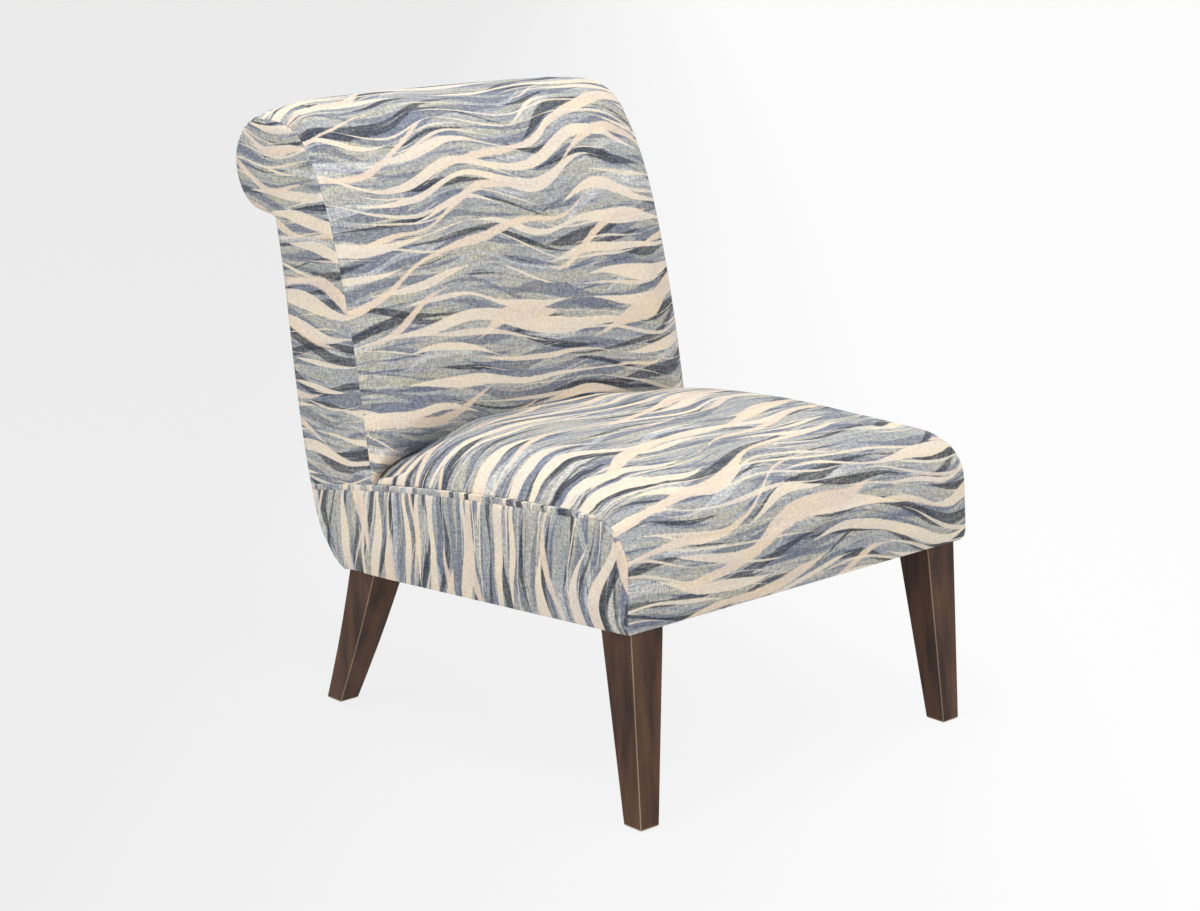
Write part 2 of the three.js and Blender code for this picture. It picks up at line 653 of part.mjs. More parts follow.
function hangerBolt(corner) {
  const top = CORNER_BLOCK_HEIGHT + GAP + NUT_FLANGE_THICKNESS + BOLT_END_LENGTH;
  const profile = [
    [0, -BOLT_LEG_LENGTH],
    [BOLT_TIP_RADIUS, -BOLT_LEG_LENGTH],
    [BOLT_RADIUS, BOLT_POINT_LENGTH - BOLT_LEG_LENGTH],
    [BOLT_RADIUS, top - BOLT_RADIUS + BOLT_TIP_RADIUS],
    [BOLT_TIP_RADIUS, top],
    [0, top],
  ];
  return onUnderside(turned(profile, TURNED_SIDES, boltX(corner), corner.bolt, 0));
}

function teeNut(corner) {
  const bore = BOLT_RADIUS + GAP;
  const profile = [
    [bore, -NUT_BARREL_LENGTH],
    [NUT_BARREL_RADIUS, -NUT_BARREL_LENGTH],
    [NUT_BARREL_RADIUS, 0],
    [NUT_FLANGE_RADIUS, 0],
    [NUT_FLANGE_RADIUS, NUT_FLANGE_THICKNESS],
    [bore, NUT_FLANGE_THICKNESS],
    [bore, -NUT_BARREL_LENGTH],
  ];
  return onUnderside(turned(profile, TURNED_SIDES, boltX(corner), corner.bolt, CORNER_BLOCK_HEIGHT + GAP));
}

function glide(corner) {
  const profile = [
    [0, 0],
    [GLIDE_FACE_RADIUS, 0],
    [GLIDE_RADIUS, GLIDE_HEIGHT / 2],
    [GLIDE_RADIUS, GLIDE_HEIGHT],
    [NAIL_RADIUS, GLIDE_HEIGHT],
    [NAIL_RADIUS, GLIDE_HEIGHT + NAIL_LENGTH],
    [0, GLIDE_HEIGHT + NAIL_LENGTH],
  ];
  return turned(profile, NAIL_SIDES * 2, ...footCentre(corner), 0);
}

function cornerBlock(corner) {
  const { side, block, bolt } = corner;
  const [near, far] = block;
  const cutDepth = far - Math.sign(far - near) * CORNER_BLOCK_CUT;
  const besideRail = (y) => halfWidth(y) - CROSS_INSET;
  const outline = [
    [besideRail(near), near],
    [besideRail(far), far],
    [besideRail(far) - CORNER_BLOCK_SIZE + CORNER_BLOCK_CUT, far],
    [besideRail(cutDepth) - CORNER_BLOCK_SIZE, cutDepth],
    [besideRail(near) - CORNER_BLOCK_SIZE, near],
  ];
  const shape = new THREE.Shape(outline.map(([x, y]) => point(side * x, y)));
  const slab = new THREE.ExtrudeGeometry(shape, { depth: CORNER_BLOCK_HEIGHT, bevelEnabled: false });
  const radius = NUT_BARREL_RADIUS + 2 * GAP;
  const high = CORNER_BLOCK_HEIGHT + OVERRUN;
  const hole = verticalRod(radius, TURNED_SIDES, boltX(corner), bolt, -OVERRUN, high);
  return onUnderside(cut(closed(slab), hole));
}

for (const corner of CORNERS) {
  add(`corner_block_${corner.name}`, cornerBlock(corner), FRAME_WOOD);
  add(`leg_${corner.name}`, leg(corner), ESPRESSO_WOOD);
  add(`hanger_bolt_${corner.name}`, hangerBolt(corner), STEEL);
  add(`tee_nut_${corner.name}`, teeNut(corner), STEEL);
  add(`glide_${corner.name}`, glide(corner), NYLON);
}

// Seat springs
class SinuousCurve extends THREE.Curve {
  constructor(x) {
    super();
    this.x = x;
    this.waves = Math.round((REAR_WIRE_DEPTH - FRONT_WIRE_DEPTH) / SPRING_WAVE);
    this.wave = (REAR_WIRE_DEPTH - FRONT_WIRE_DEPTH) / this.waves;
  }

  // The wire crosses its middle line squarely, so it lies straight across in each clip
  getPoint(share) {
    const angle = lerp(-SPRING_END_ANGLE, this.waves * Math.PI + SPRING_END_ANGLE, share);
    const y = FRONT_WIRE_DEPTH + (this.wave / Math.PI) * (angle - Math.sin(2 * angle) / 2);
    const x = this.x + (SPRING_WIDTH / 2 - SPRING_WIRE_RADIUS) * Math.sin(angle);
    return new THREE.Vector3(x, y, underside(y) + WIRE_LIFT + springArch(y));
  }
}

function wireAlong(path, radius, sides, steps) {
  const ring = Array.from({ length: sides }, (_, i) => {
    const angle = (2 * Math.PI * i) / sides;
    return point(radius * Math.cos(angle), radius * Math.sin(angle));
  });
  const options = { steps, extrudePath: path, bevelEnabled: false };
  return closed(new THREE.ExtrudeGeometry(new THREE.Shape(ring), options));
}

// A strap of steel bent round the wire, closed towards the middle of the seat
function springClip(x, wireDepth, inwards) {
  const [inner, outer] = [CLIP_INNER_RADIUS, CLIP_OUTER_RADIUS];
  const shape = new THREE.Shape();
  shape.moveTo(-CLIP_LENGTH, -outer);
  shape.lineTo(0, -outer);
  shape.absarc(0, 0, outer, -Math.PI / 2, Math.PI / 2, false);
  shape.lineTo(-CLIP_LENGTH / 2, outer);
  shape.lineTo(-CLIP_LENGTH / 2, inner);
  shape.lineTo(0, inner);
  shape.absarc(0, 0, inner, Math.PI / 2, -Math.PI / 2, true);
  shape.lineTo(-CLIP_LENGTH, -inner);
  const options = { depth: 1, bevelEnabled: false, curveSegments: TURNED_SIDES / 4 };
  const clip = reshape(new THREE.ExtrudeGeometry(shape, options), (vertex) => {
    const across = lerp(x - CLIP_WIDTH / 2, x + CLIP_WIDTH / 2, vertex.z);
    vertex.set(across, wireDepth + inwards * vertex.x, vertex.y + WIRE_LIFT);
  });
  return closed(onUnderside(clip));
}

for (let i = 0; i < SPRING_COUNT; i++) {
  const x = (i - (SPRING_COUNT - 1) / 2) * SPRING_SPACING;
  const path = new SinuousCurve(x);
  const steps = path.waves * SPRING_STEPS_PER_WAVE;
  add(`seat_spring_${i + 1}`, wireAlong(path, SPRING_WIRE_RADIUS, WIRE_SIDES, steps), STEEL);
  add(`spring_clip_front_${i + 1}`, springClip(x, FRONT_WIRE_DEPTH, 1), STEEL);
  add(`spring_clip_rear_${i + 1}`, springClip(x, REAR_WIRE_DEPTH, -1), STEEL);
}

function tieWire() {
  const y = (FRONT_WIRE_DEPTH + REAR_WIRE_DEPTH) / 2;
  const z = underside(y) + WIRE_LIFT + SPRING_ARCH - SPRING_WIRE_RADIUS - TIE_WIRE_RADIUS - GAP;
  const reach = halfWidth(y) - CROSS_INSET;
  const line = new THREE.LineCurve3(new THREE.Vector3(-reach, y, z), new THREE.Vector3(reach, y, z));
  return wireAlong(line, TIE_WIRE_RADIUS, WIRE_SIDES, 1);
}
add('spring_tie_wire', tieWire(), STEEL);

// Deck over the springs, narrower where it passes between the back posts
function seatDeck() {
  const depths = [REAR_RAIL_REAR, POST_FRONT_DEPTH - COVER, ...padDepths];
  const low = depths.map((y) => point(y, deckHeight(y)));
  const high = depths.map((y) => point(y, deckHeight(y) + DECK));
  const reach = (y) => halfWidth(y) - (y < seatTopDepths[0] + GAP ? STRAP_INSET : CROSS_INSET);
  return acrossFrom([...low, ...high.reverse()], (y) => -reach(y), reach);
}
add('seat_deck', seatDeck(), CAMBRIC);

// Seat padding: from the deck up to the cover, with a lip down the front rail
function seatFoam() {
  const top = padDepths.map((y) => point(y, deckHeight(y) + DECK + GAP));
  const lip = SWELL_ROW_SHARES.slice(1).map((share) =>
    point(FRONT_RAIL_DEPTH - GAP, lerp(underside(FRONT_RAIL_DEPTH), top[top.length - 1].y, share)));
  const innerRows = [...top, ...lip];
  const seam = offsetRows(seatSeamRows, UNDER_COVER);
  const crest = offsetRows(seatCrestRows, UNDER_COVER);
  return padBetween(crownedGrid(seam, crest, FOAM_INSET), crownedGrid(innerRows, innerRows, FOAM_INSET));
}
add('seat_foam', seatFoam(), FOAM);

// Seat cover: inside the welt along the top, out to the plain seam down the front
function seatCover() {
  const faceShares = SWELL_ROW_SHARES.slice(1);
  const insets = seatSeamRows.map((_, i) => {
    const share = faceShares[i - seatSeamRows.length + faceShares.length] ?? 1;
    if (i >= SEAT_ROWS) {
      return -swell(share);
    }
    return i ? 2 * WELT_RADIUS + GAP - swell(1) : FOAM_INSET;
  });
  const outer = crownedGrid(seatSeamRows, seatCrestRows, insets);
  const inner = crownedGrid(offsetRows(seatSeamRows, COVER), offsetRows(seatCrestRows, COVER), insets);
  return padBetween(outer, inner);
}
add('seat_cover', seatCover(), FABRIC);

// Edge that the side panels follow under the outside back
const rearPanelRows = offsetRows(rearRows, -UNDER_COVER);

// Side borders of the seat, below the welt: padded panels that swell out above their lower edge
function seatBorder(side) {
  const frontEdge = offsetRows(seatEdgeSeamRows, UNDER_COVER).slice(1).reverse();
  const underWelt = rowsOf(weltCurve, BORDER_COLUMNS, 1, weltShareAt(SEAT_REAR_DEPTH));
  const upper = [...frontEdge, ...offsetRows(underWelt, -WELT_RADIUS - GAP)];
  const rear = rearPanelRows.slice(REAR_UPPER_ROWS - 1).reverse();
  const lower = upper.map((row) => point(row.x, underside(row.x)));
  lower[lower.length - 1] = rear[0].clone();
  for (const row of rear.slice(1, -1)) {
    const share = weltShareAt(row.x);
    const high = offsetRows(rowsOf(weltCurve, 2, share, share - BORDER_STEP_SHARE), -WELT_RADIUS - GAP)[0];
    upper.push(point(row.x, high.y));
    lower.push(row);
  }
  const frontColumn = offsetRows(seatSeamRows, UNDER_COVER).slice(-SWELL_ROW_SHARES.length);
  const grid = (reach) => upper.map((high, i) => SWELL_ROW_SHARES.map((share, j) => {
    const row = i ? lower[i].clone().lerp(high, share) : frontColumn[j];
    return new THREE.Vector3(side * (halfWidth(row.x) + reach(share)), row.x, row.y);
  }));
  return padBetween(grid(swell), grid(() => -PANEL));
}

// Back facings: the scroll-shaped panels in the sides of the back
function backFacing(side) {
  const rear = rearPanelRows.slice(0, REAR_UPPER_ROWS);
  const face = offsetRows(backSeamRows, -UNDER_COVER);
  const foot = face[0];
  const toe = rear[rear.length - 1];
  const low = rowsOf(weltCurve, WELT_STEPS / 2, weltShareAt(toe.x), weltShareAt(foot.x));
  const rows = [...face.slice(1), ...rear.slice(0, -1), ...offsetRows(low, -WELT_RADIUS - GAP)];
  return sideMember(rows, side, 0, PANEL);
}

function seatWelt(side) {
  const start = weltShareAt(WELT_REAR_DEPTH - UNDER_COVER - WELT_RADIUS);
  const rows = rowsOf(weltCurve, WELT_STEPS / 2, start, 1);
  const reach = swell(1) - WELT_RADIUS;
  const points = rows.map((row) => new THREE.Vector3(side * (halfWidth(row.x) + reach), row.x, row.y));
  return wireAlong(new THREE.CatmullRomCurve3(points), WELT_RADIUS, WELT_SIDES, WELT_STEPS);
}

for (const [name, side] of SIDES) {
  add(`seat_border_${name}`, seatBorder(side), FABRIC);
  add(`back_facing_${name}`, backFacing(side), FABRIC);
  add(`seat_welt_${name}`, seatWelt(side), FABRIC);
}

// Straps across every other stretch of the posts' front, and the board bent over the scroll heads
const strapRows = behindPadding(GAP);
for (let i = 0; i < STRAP_COUNT; i++) {
  add(`back_strap_${i + 1}`, laidAgainst(strapRows, 2 * i + 1, STRAP, STRAP_INSET), WEBBING);
}
const boardRows = strapRows.slice(BACK_ROWS - 2);
const board = [...boardRows, ...offsetRows(boardRows, -STRAP).reverse()];
add('roll_board', crossMember(board, STRAP_INSET), CARDBOARD);

// Back padding: up the straps and round the roll, its foot shaped to the seat's crown
function backFoam() {
  const inner = behindPadding(0);
  const innerCrest = [inner[0].clone().lerp(inner[1], FOAM_FOOT_SHARE), ...inner.slice(1)];
  const seam = offsetRows(backSeamRows, -UNDER_COVER);
  const crest = offsetRows(backCrestRows, -UNDER_COVER);
  return padBetween(crownedGrid(seam, crest, FOAM_INSET), crownedGrid(inner, innerCrest, FOAM_INSET));
}
add('back_foam', backFoam(), FOAM);

function insideBackCover() {
  const outer = crownedGrid(backSeamRows, backCrestRows, 0);
  const inner = crownedGrid(offsetRows(backSeamRows, -COVER), offsetRows(backCrestRows, -COVER), 0);
  return padBetween(outer, inner);
}
add('inside_back_cover', insideBackCover(), FABRIC);

function outsideBack() {
  const crest = offsetRows(rearRows, OUTSIDE_BACK_CROWN);
  crest[crest.length - 1].copy(rearRows[rearRows.length - 1]);
  const outer = crownedGrid(rearRows, crest, 0);
  const inner = crownedGrid(offsetRows(rearRows, -COVER), offsetRows(crest, -COVER), 0);
  return padBetween(outer, inner);
}
add('outside_back', outsideBack(), FABRIC);

// Dust cover under the rails, notched round the four legs
function dustCover() {
  const frontNotch = FRONT_LEG_TOP_DEPTH + LEG_TOP_WIDTH + DUST_COVER_LEG_CLEARANCE;
  const rearNotch = REAR_LEG_TOP_DEPTH - DUST_COVER_LEG_CLEARANCE;
  const front = SEAT_FRONT_DEPTH + DUST_COVER_INSET;
  const rear = SEAT_REAR_DEPTH - DUST_COVER_INSET;
  const legInset = LEG_TOP_INSET + LEG_TOP_WIDTH + DUST_COVER_LEG_CLEARANCE;
  const half = [
    [halfWidth(front) - legInset, front],
    [halfWidth(front) - legInset, frontNotch],
    [halfWidth(frontNotch) - DUST_COVER_INSET, frontNotch],
    [halfWidth(rearNotch) - DUST_COVER_INSET, rearNotch],
    [halfWidth(rear) - legInset, rearNotch],
    [halfWidth(rear) - legInset, rear],
  ];
  const outline = [...half, ...half.map(([x, y]) => [-x, y]).reverse()];
  const shape = new THREE.Shape(outline.map(([x, y]) => point(x, y)));
  const sheet = new THREE.ExtrudeGeometry(shape, { depth: DUST_COVER, bevelEnabled: false });
  return closed(onUnderside(sheet.translate(0, 0, -GAP - DUST_COVER)));
}
add('dust_cover', dustCover(), CAMBRIC);

// The origin lies on the floor, under the middle of the chair's box
const box = new THREE.Box3().setFromObject(chair);
chair.position.set(0, -(box.min.y + box.max.y) / 2, -box.min.z);

export default chair;
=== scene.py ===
# %% [markdown]
# # A roll-back slipper chair
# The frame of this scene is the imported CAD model: every rail, leg, bolt and spring is already in
# place, in metres, with the chair's front facing -Y. This lesson dresses it. The soft pieces are
# made again as cloth over padding, the wood and the metal get their finishes, and a floor, some
# soft light and a camera show the result.

# %% The frame
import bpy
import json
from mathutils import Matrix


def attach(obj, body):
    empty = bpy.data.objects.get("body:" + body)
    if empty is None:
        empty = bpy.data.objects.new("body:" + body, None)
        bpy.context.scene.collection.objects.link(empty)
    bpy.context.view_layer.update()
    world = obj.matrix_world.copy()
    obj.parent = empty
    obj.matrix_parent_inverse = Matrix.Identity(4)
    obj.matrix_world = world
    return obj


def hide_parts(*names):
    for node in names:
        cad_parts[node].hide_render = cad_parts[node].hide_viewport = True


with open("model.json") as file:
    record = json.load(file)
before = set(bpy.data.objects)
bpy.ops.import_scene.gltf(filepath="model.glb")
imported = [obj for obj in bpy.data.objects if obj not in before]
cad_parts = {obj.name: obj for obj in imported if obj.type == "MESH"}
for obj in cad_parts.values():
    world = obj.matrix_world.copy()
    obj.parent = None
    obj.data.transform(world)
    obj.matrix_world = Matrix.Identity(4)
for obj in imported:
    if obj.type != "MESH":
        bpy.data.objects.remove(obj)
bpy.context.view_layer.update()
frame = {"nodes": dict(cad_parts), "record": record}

# %% [markdown]
# ## Camera
# The camera's place and direction were solved from the legs' feet, the seat's edges and the roll
# of the back. Yaw is measured from +X towards +Y, pitch downwards from the horizon. A long lens
# keeps the perspective as gentle as it is in a catalogue picture.

# %% The camera
import json
import math
from collections import namedtuple

import bmesh
import bpy
from mathutils import Vector

MM = 0.001
scene = bpy.context.scene

CAMERA_PLACE = Vector((-2.3307, -2.5609, 1.2288))
CAMERA_YAW = math.radians(47.457)
CAMERA_PITCH = math.radians(14.319)
CAMERA_LENS = 77.83


def make_camera():
    data = bpy.data.cameras.new("camera")
    data.lens = CAMERA_LENS
    camera = bpy.data.objects.new("camera", data)
    scene.collection.objects.link(camera)
    level = math.cos(CAMERA_PITCH)
    look = Vector((
        math.cos(CAMERA_YAW) * level, math.sin(CAMERA_YAW) * level, -math.sin(CAMERA_PITCH)))
    camera.location = CAMERA_PLACE
    camera.rotation_euler = look.to_track_quat("-Z", "Y").to_euler()
    scene.camera = camera
    return camera


camera = make_camera()
print("camera at", [round(value, 3) for value in camera.location])

# %% [markdown]
# ## Taking a cover off the CAD model
# Each CAD cover is a thin closed skin of triangles. A maker would cut the cover's outer face from
# cloth, so this step copies the skin, merges its loose triangles, pairs them into quads and keeps
# only the face that shows. Quads in even rows are what subdivision and the cloth solver like best.

# %% Copies of CAD skins
MERGE_DISTANCE = 0.01 * MM
SKIN_THICKNESS = 2 * MM
HALF_TURN = math.pi
# A face belongs to a panel's side if its normal has at least this part in the side's direction
LEAST_FACING = 0.3
SIDES = {"left": -1, "right": 1}
UP = Vector((0, 0, 1))
DOWN = Vector((0, 0, -1))
BACKWARD = Vector((0, 1, 0))
X, Y, Z = range(3)


def cad_copy(node):
    """A bmesh of a CAD node, its triangles merged and paired into quads."""
    copy = bmesh.new()
    copy.from_mesh(frame["nodes"][node].data)
    bmesh.ops.remove_doubles(copy, verts=copy.verts, dist=MERGE_DISTANCE)
    bmesh.ops.join_triangles(
        copy, faces=copy.faces, angle_face_threshold=HALF_TURN, angle_shape_threshold=HALF_TURN)
    return copy


def linked_faces(start):
    """The faces that hang together with one face."""
    found, waiting = {start}, [start]
    while waiting:
        for edge in waiting.pop().edges:
            for face in edge.link_faces:
                if face not in found:
                    found.add(face)
                    waiting.append(face)
    return found


def keep_faces(sheet, kept):
    dropped = [face for face in sheet.faces if face not in kept]
    bmesh.ops.delete(sheet, geom=dropped, context="FACES")
    return sheet


def outer_face(node, outwards):
    """The outer face of a thin skin: what lies furthest outwards once its narrow rims are gone."""
    sheet = cad_copy(node)
    rims = [f for f in sheet.faces if min(e.calc_length() for e in f.edges) < SKIN_THICKNESS]
    bmesh.ops.delete(sheet, geom=rims, context="FACES")
    furthest = max(sheet.faces, key=lambda face: face.calc_center_median().dot(outwards))
    return keep_faces(sheet, linked_faces(furthest))


def face_towards(node, direction):
    """The face of a flat panel that looks in a direction."""
    sheet = cad_copy(node)
    sheet.normal_update()
    facing = {face for face in sheet.faces if face.normal.dot(direction) > LEAST_FACING}
    return keep_faces(sheet, facing)


# %% [markdown]
# ## From a sheet to a smooth, padded cover
# Catmull-Clark subdivision rounds the coarse CAD rows. The cover is then blown out a few
# millimetres by Blender's cloth solver: its outline is pinned, as a seam holds it, and pressure
# from inside does what the padding does. How far a point may move is capped, so the seams and the
# outline stay where the CAD model has them. Solidify turns the edge in and gives the cloth body.

# %% Padding by cloth pressure
SUBDIVISIONS = 3
CLOTH_FRAMES = 20
CLOTH_THICKNESS = 1.6 * MM
# Solidify's offset for a body that lies wholly below the sheet
INWARDS = -1


def make_piece(name, sheet):
    mesh = bpy.data.meshes.new(name)
    sheet.to_mesh(mesh)
    sheet.free()
    piece = bpy.data.objects.new(name, mesh)
    scene.collection.objects.link(piece)
    for polygon in mesh.polygons:
        polygon.use_smooth = True
    return piece


def bake_modifiers(piece):
    """Turns what the modifiers make into the piece's own mesh."""
    evaluated = piece.evaluated_get(bpy.context.evaluated_depsgraph_get())
    mesh = bpy.data.meshes.new_from_object(evaluated)
    piece.modifiers.clear()
    piece.data = mesh
    return piece


def subdivide(piece, levels):
    smooth = piece.modifiers.new("smooth", "SUBSURF")
    smooth.levels = smooth.render_levels = levels
    smooth.boundary_smooth = "PRESERVE_CORNERS"
    return bake_modifiers(piece)


def pin_outline(piece):
    """Pins the open edge of a sheet, where it is sewn down."""
    edge_uses = {key: 0 for key in piece.data.edge_keys}
    for polygon in piece.data.polygons:
        for key in polygon.edge_keys:
            edge_uses[key] += 1
    outline = sorted({vertex for key, uses in edge_uses.items() if uses == 1 for vertex in key})
    piece.vertex_groups.new(name="sewn").add(outline, 1, "REPLACE")
    return len(outline)


def pad_out(piece, pressure, cap):
    """Blows a sheet out by cloth pressure, no point further than the cap."""
    sewn = pin_outline(piece)
    start = [vertex.co.copy() for vertex in piece.data.vertices]
    cloth = piece.modifiers.new("padding", "CLOTH")
    cloth.settings.vertex_group_mass = "sewn"
    cloth.settings.use_pressure = True
    cloth.settings.uniform_pressure_force = pressure
    cloth.settings.effector_weights.gravity = 0
    cloth.collision_settings.use_collision = False
    cloth.collision_settings.use_self_collision = False
    for number in range(1, CLOTH_FRAMES + 1):
        scene.frame_set(number)
    bake_modifiers(piece)
    furthest = 0
    for vertex, before in zip(piece.data.vertices, start):
        step = vertex.co - before
        furthest = max(furthest, step.length)
        if step.length > cap:
            vertex.co = before + step.normalized() * cap
    scene.frame_set(1)
    print(f"{piece.name}: {len(start)} points, {sewn} sewn, moved up to {furthest / MM:.1f} mm")
    return piece


def mixed(first, second, share):
    return first + (second - first) * share


def smooth_share(value):
    """0 below 0, 1 above 1, and a soft rise between them."""
    share = min(max(value, 0), 1)
    return share * share * (3 - 2 * share)


def rise(value, start, full):
    """The soft rise of a value from its start to where it is full."""
    return smooth_share((value - start) / (full - start))


def band(inside, onset, end, fade):
    """A band beside a seam: it sets in over a first stretch and fades out before its end."""
    return smooth_share(inside / onset) * smooth_share((end - inside) / fade)


def give_body(piece, thickness):
    body = piece.modifiers.new("body", "SOLIDIFY")
    body.thickness = thickness
    body.offset = INWARDS
    return bake_modifiers(piece)


def outline_sides(sheet):
    """The stretches of a sheet's open edge from corner to corner, each a list of its edges."""
    corners = [v for v in sheet.verts if v.is_boundary and len(v.link_edges) == 2]
    sides, used = [], set()
    for corner in corners:
        for edge in corner.link_edges:
            if edge in used:
                continue
            side, vert = [edge], edge.other_vert(corner)
            while vert not in corners:
                edge = next(e for e in vert.link_edges if e.is_boundary and e is not side[-1])
                side.append(edge)
                vert = edge.other_vert(vert)
            used.update(side)
            sides.append(side)
    return sides


def side_towards(sheet, direction):
    """The side of a sheet's outline that lies furthest in a direction."""
    def reach(side):
        return sum(e.verts[0].co.dot(direction) for e in side) / len(side)
    return max(outline_sides(sheet), key=reach)


def tuck_in(piece, direction, step):
    """Carries one side of a sheet on past its seam, down out of sight."""
    sheet = bmesh.new()
    sheet.from_mesh(piece.data)
    grown = bmesh.ops.extrude_edge_only(sheet, edges=side_towards(sheet, direction))
    moved = [item for item in grown["geom"] if isinstance(item, bmesh.types.BMVert)]
    bmesh.ops.translate(sheet, verts=moved, vec=step)
    sheet.to_mesh(piece.data)
    sheet.free()


def outer_edges(sheet):
    """All edges of a sheet's open outline."""
    return [edge for edge in sheet.edges if edge.is_boundary]


def side_edges(sheet):
    """The edges of a sheet's outline on its left and on its right."""
    return side_towards(sheet, Vector((-1, 0, 0))) + side_towards(sheet, Vector((1, 0, 0)))


def turn_in(piece, choose, step):
    """Folds the edge of a sheet into the chair, as the allowance behind a seam lies."""
    sheet = bmesh.new()
    sheet.from_mesh(piece.data)
    sheet.normal_update()
    edges = choose(sheet)
    inwards = {vert: step(vert) for edge in edges for vert in edge.verts}
    grown = bmesh.ops.extrude_edge_only(sheet, edges=edges)["geom"]
    for vert in (item for item in grown if isinstance(item, bmesh.types.BMVert)):
        others = [edge.other_vert(vert) for edge in vert.link_edges]
        vert.co += next(inwards[other] for other in others if other in inwards)
    sheet.to_mesh(piece.data)
    sheet.free()
    print(f"{piece.name}: {len(edges)} edges turned in")


def finish_soft(piece, nodes):
    """Dresses a soft piece in the printed linen, hangs it on the root body and hides the CAD nodes
    that it stands for.
    """
    piece.data.materials.clear()
    piece.data.materials.append(LINEN)
    for polygon in piece.data.polygons:
        polygon.use_smooth = True
        polygon.material_index = 0
    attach(piece, "root")
    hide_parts(*nodes)
    return piece


# %% [markdown]
# ## Laying the cloth's pattern
# Printed cloth runs with the piece it is cut for, so each cover has its own UV map, in metres.
# Across the chair it is simply the distance from the middle. Along the cover it is the distance
# walked over the cover's middle line, so that the pattern goes round the front edge of the seat
# and over the roll without stretching. Each piece is cut out of its own spot of the cloth.

# %% UV maps in metres
def middle_line(piece):
    """Points of a sheet on the chair's middle plane, in order, as depth and height."""
    mesh = piece.data
    on_middle = {v.index for v in mesh.vertices if abs(v.co.x) < MERGE_DISTANCE}
    links = {index: [] for index in on_middle}
    for a, b in mesh.edge_keys:
        if a in on_middle and b in on_middle:
            links[a].append(b)
            links[b].append(a)
    ends = [index for index, others in links.items() if len(others) == 1]
    walk = [min(ends, key=lambda index: mesh.vertices[index].co.z)]
    while len(walk) < len(on_middle):
        onwards = [index for index in links[walk[-1]] if index not in walk]
        if not onwards:
            break
        walk.append(onwards[0])
    return [Vector(mesh.vertices[index].co.yz) for index in walk]


def walked_distance(line, place):
    """Distance along a line, which runs on past its start, to the spot nearest to a place."""
    best, walked, result = math.inf, 0, 0
    for start, end in zip(line, line[1:]):
        along = end - start
        share = (place - start).dot(along) / along.length_squared
        share = min(share if start is line[0] else max(share, 0), 1)
        off = (start + along * share - place).length_squared
        if off < best:
            best, result = off, walked + along.length * share
        walked += along.length
    return result


def map_pattern(piece, place_on_cloth):
    """Writes a UV map from a function of a vertex's place."""
    uv_map = piece.data.uv_layers.new(name="cloth")
    places = [place_on_cloth(vertex.co) for vertex in piece.data.vertices]
    for loop in piece.data.loops:
        uv_map.data[loop.index].uv = places[loop.vertex_index]


def along_cover(line, cut):
    """Places on the cloth for a cover that is cut out at a given spot of it."""
    return lambda co: (co.x + cut[0], walked_distance(line, co.yz) + cut[1])


# %% [markdown]
# ## The printed linen
# The cloth is linen with a water-coloured print of wavy ribbons in cream, sage, slate and navy.
# Each colour is printed with its own screens. A screen divides the cloth into rows; in every row
# one ribbon wanders up and down and swells and runs out, steered by two slow noises. The rows of
# all screens are bent by the same slow wave, and each screen a little by its own, so ribbons
# cross at flat angles. The dark screens come first, on a brushed ground, and get the brush marks
# and the weave strongly. The light ones are printed over them and stay cleaner. Two finer
# noises, along warp and weft, make the weave.

# %% Node helpers
# The sockets of a Mix node that mixes colours
MIX_FACTOR, MIX_FIRST, MIX_SECOND, MIX_RESULT = 0, 6, 7, 2


def add_node(tree, kind, **values):
    """A shader node; a value's name is an attribute or an input's name."""
    node = tree.nodes.new(kind)
    for name, value in values.items():
        if hasattr(node, name):
            setattr(node, name, value)
        else:
            node.inputs[name.replace("_", " ")].default_value = value
    return node


def feed(tree, source, target, socket):
    tree.links.new(source, target.inputs[socket])


def math_node(tree, operation, first, second):
    node = add_node(tree, "ShaderNodeMath", operation=operation)
    for socket, value in enumerate((first, second)):
        if isinstance(value, (int, float)):
            node.inputs[socket].default_value = value
        else:
            feed(tree, value, node, socket)
    return node.outputs[0]


def times(tree, first, second):
    return math_node(tree, "MULTIPLY", first, second)


def plus(tree, first, second):
    return math_node(tree, "ADD", first, second)


def minus(tree, first, second):
    return math_node(tree, "SUBTRACT", first, second)


def joined(tree, *parts):
    """A vector made of three numbers, each a constant or another node's output."""
    node = add_node(tree, "ShaderNodeCombineXYZ")
    for socket, part in enumerate(parts):
        if isinstance(part, (int, float)):
            node.inputs[socket].default_value = part
        else:
            feed(tree, part, node, socket)
    return node.outputs[0]


def stretched(tree, source, scale, shift=(0, 0, 0)):
    """A vector whose axes are stretched by their own amounts, then shifted."""
    mapping = add_node(tree, "ShaderNodeMapping")
    mapping.inputs["Scale"].default_value = scale
    mapping.inputs["Location"].default_value = shift
    feed(tree, source, mapping, "Vector")
    return mapping.outputs[0]


def noise(tree, vector, detail=2.0):
    node = add_node(tree, "ShaderNodeTexNoise", Scale=1.0, Detail=detail)
    feed(tree, vector, node, "Vector")
    return node.outputs[0]


def ramp(tree, factor, stops, interpolation="LINEAR"):
    node = add_node(tree, "ShaderNodeValToRGB")
    elements = node.color_ramp.elements
    node.color_ramp.interpolation = interpolation
    while len(elements) < len(stops):
        elements.new(1)
    for element, (place, colour) in zip(elements, stops):
        element.position = place
        element.color = (*colour, 1)
    feed(tree, factor, node, "Fac")
    return node.outputs[0]


def shaded(tree, colour, factor, stops):
    """A colour times the shade that a ramp gives for a factor."""
    return mix_colours(tree, "MULTIPLY", 1.0, colour, ramp(tree, factor, stops))


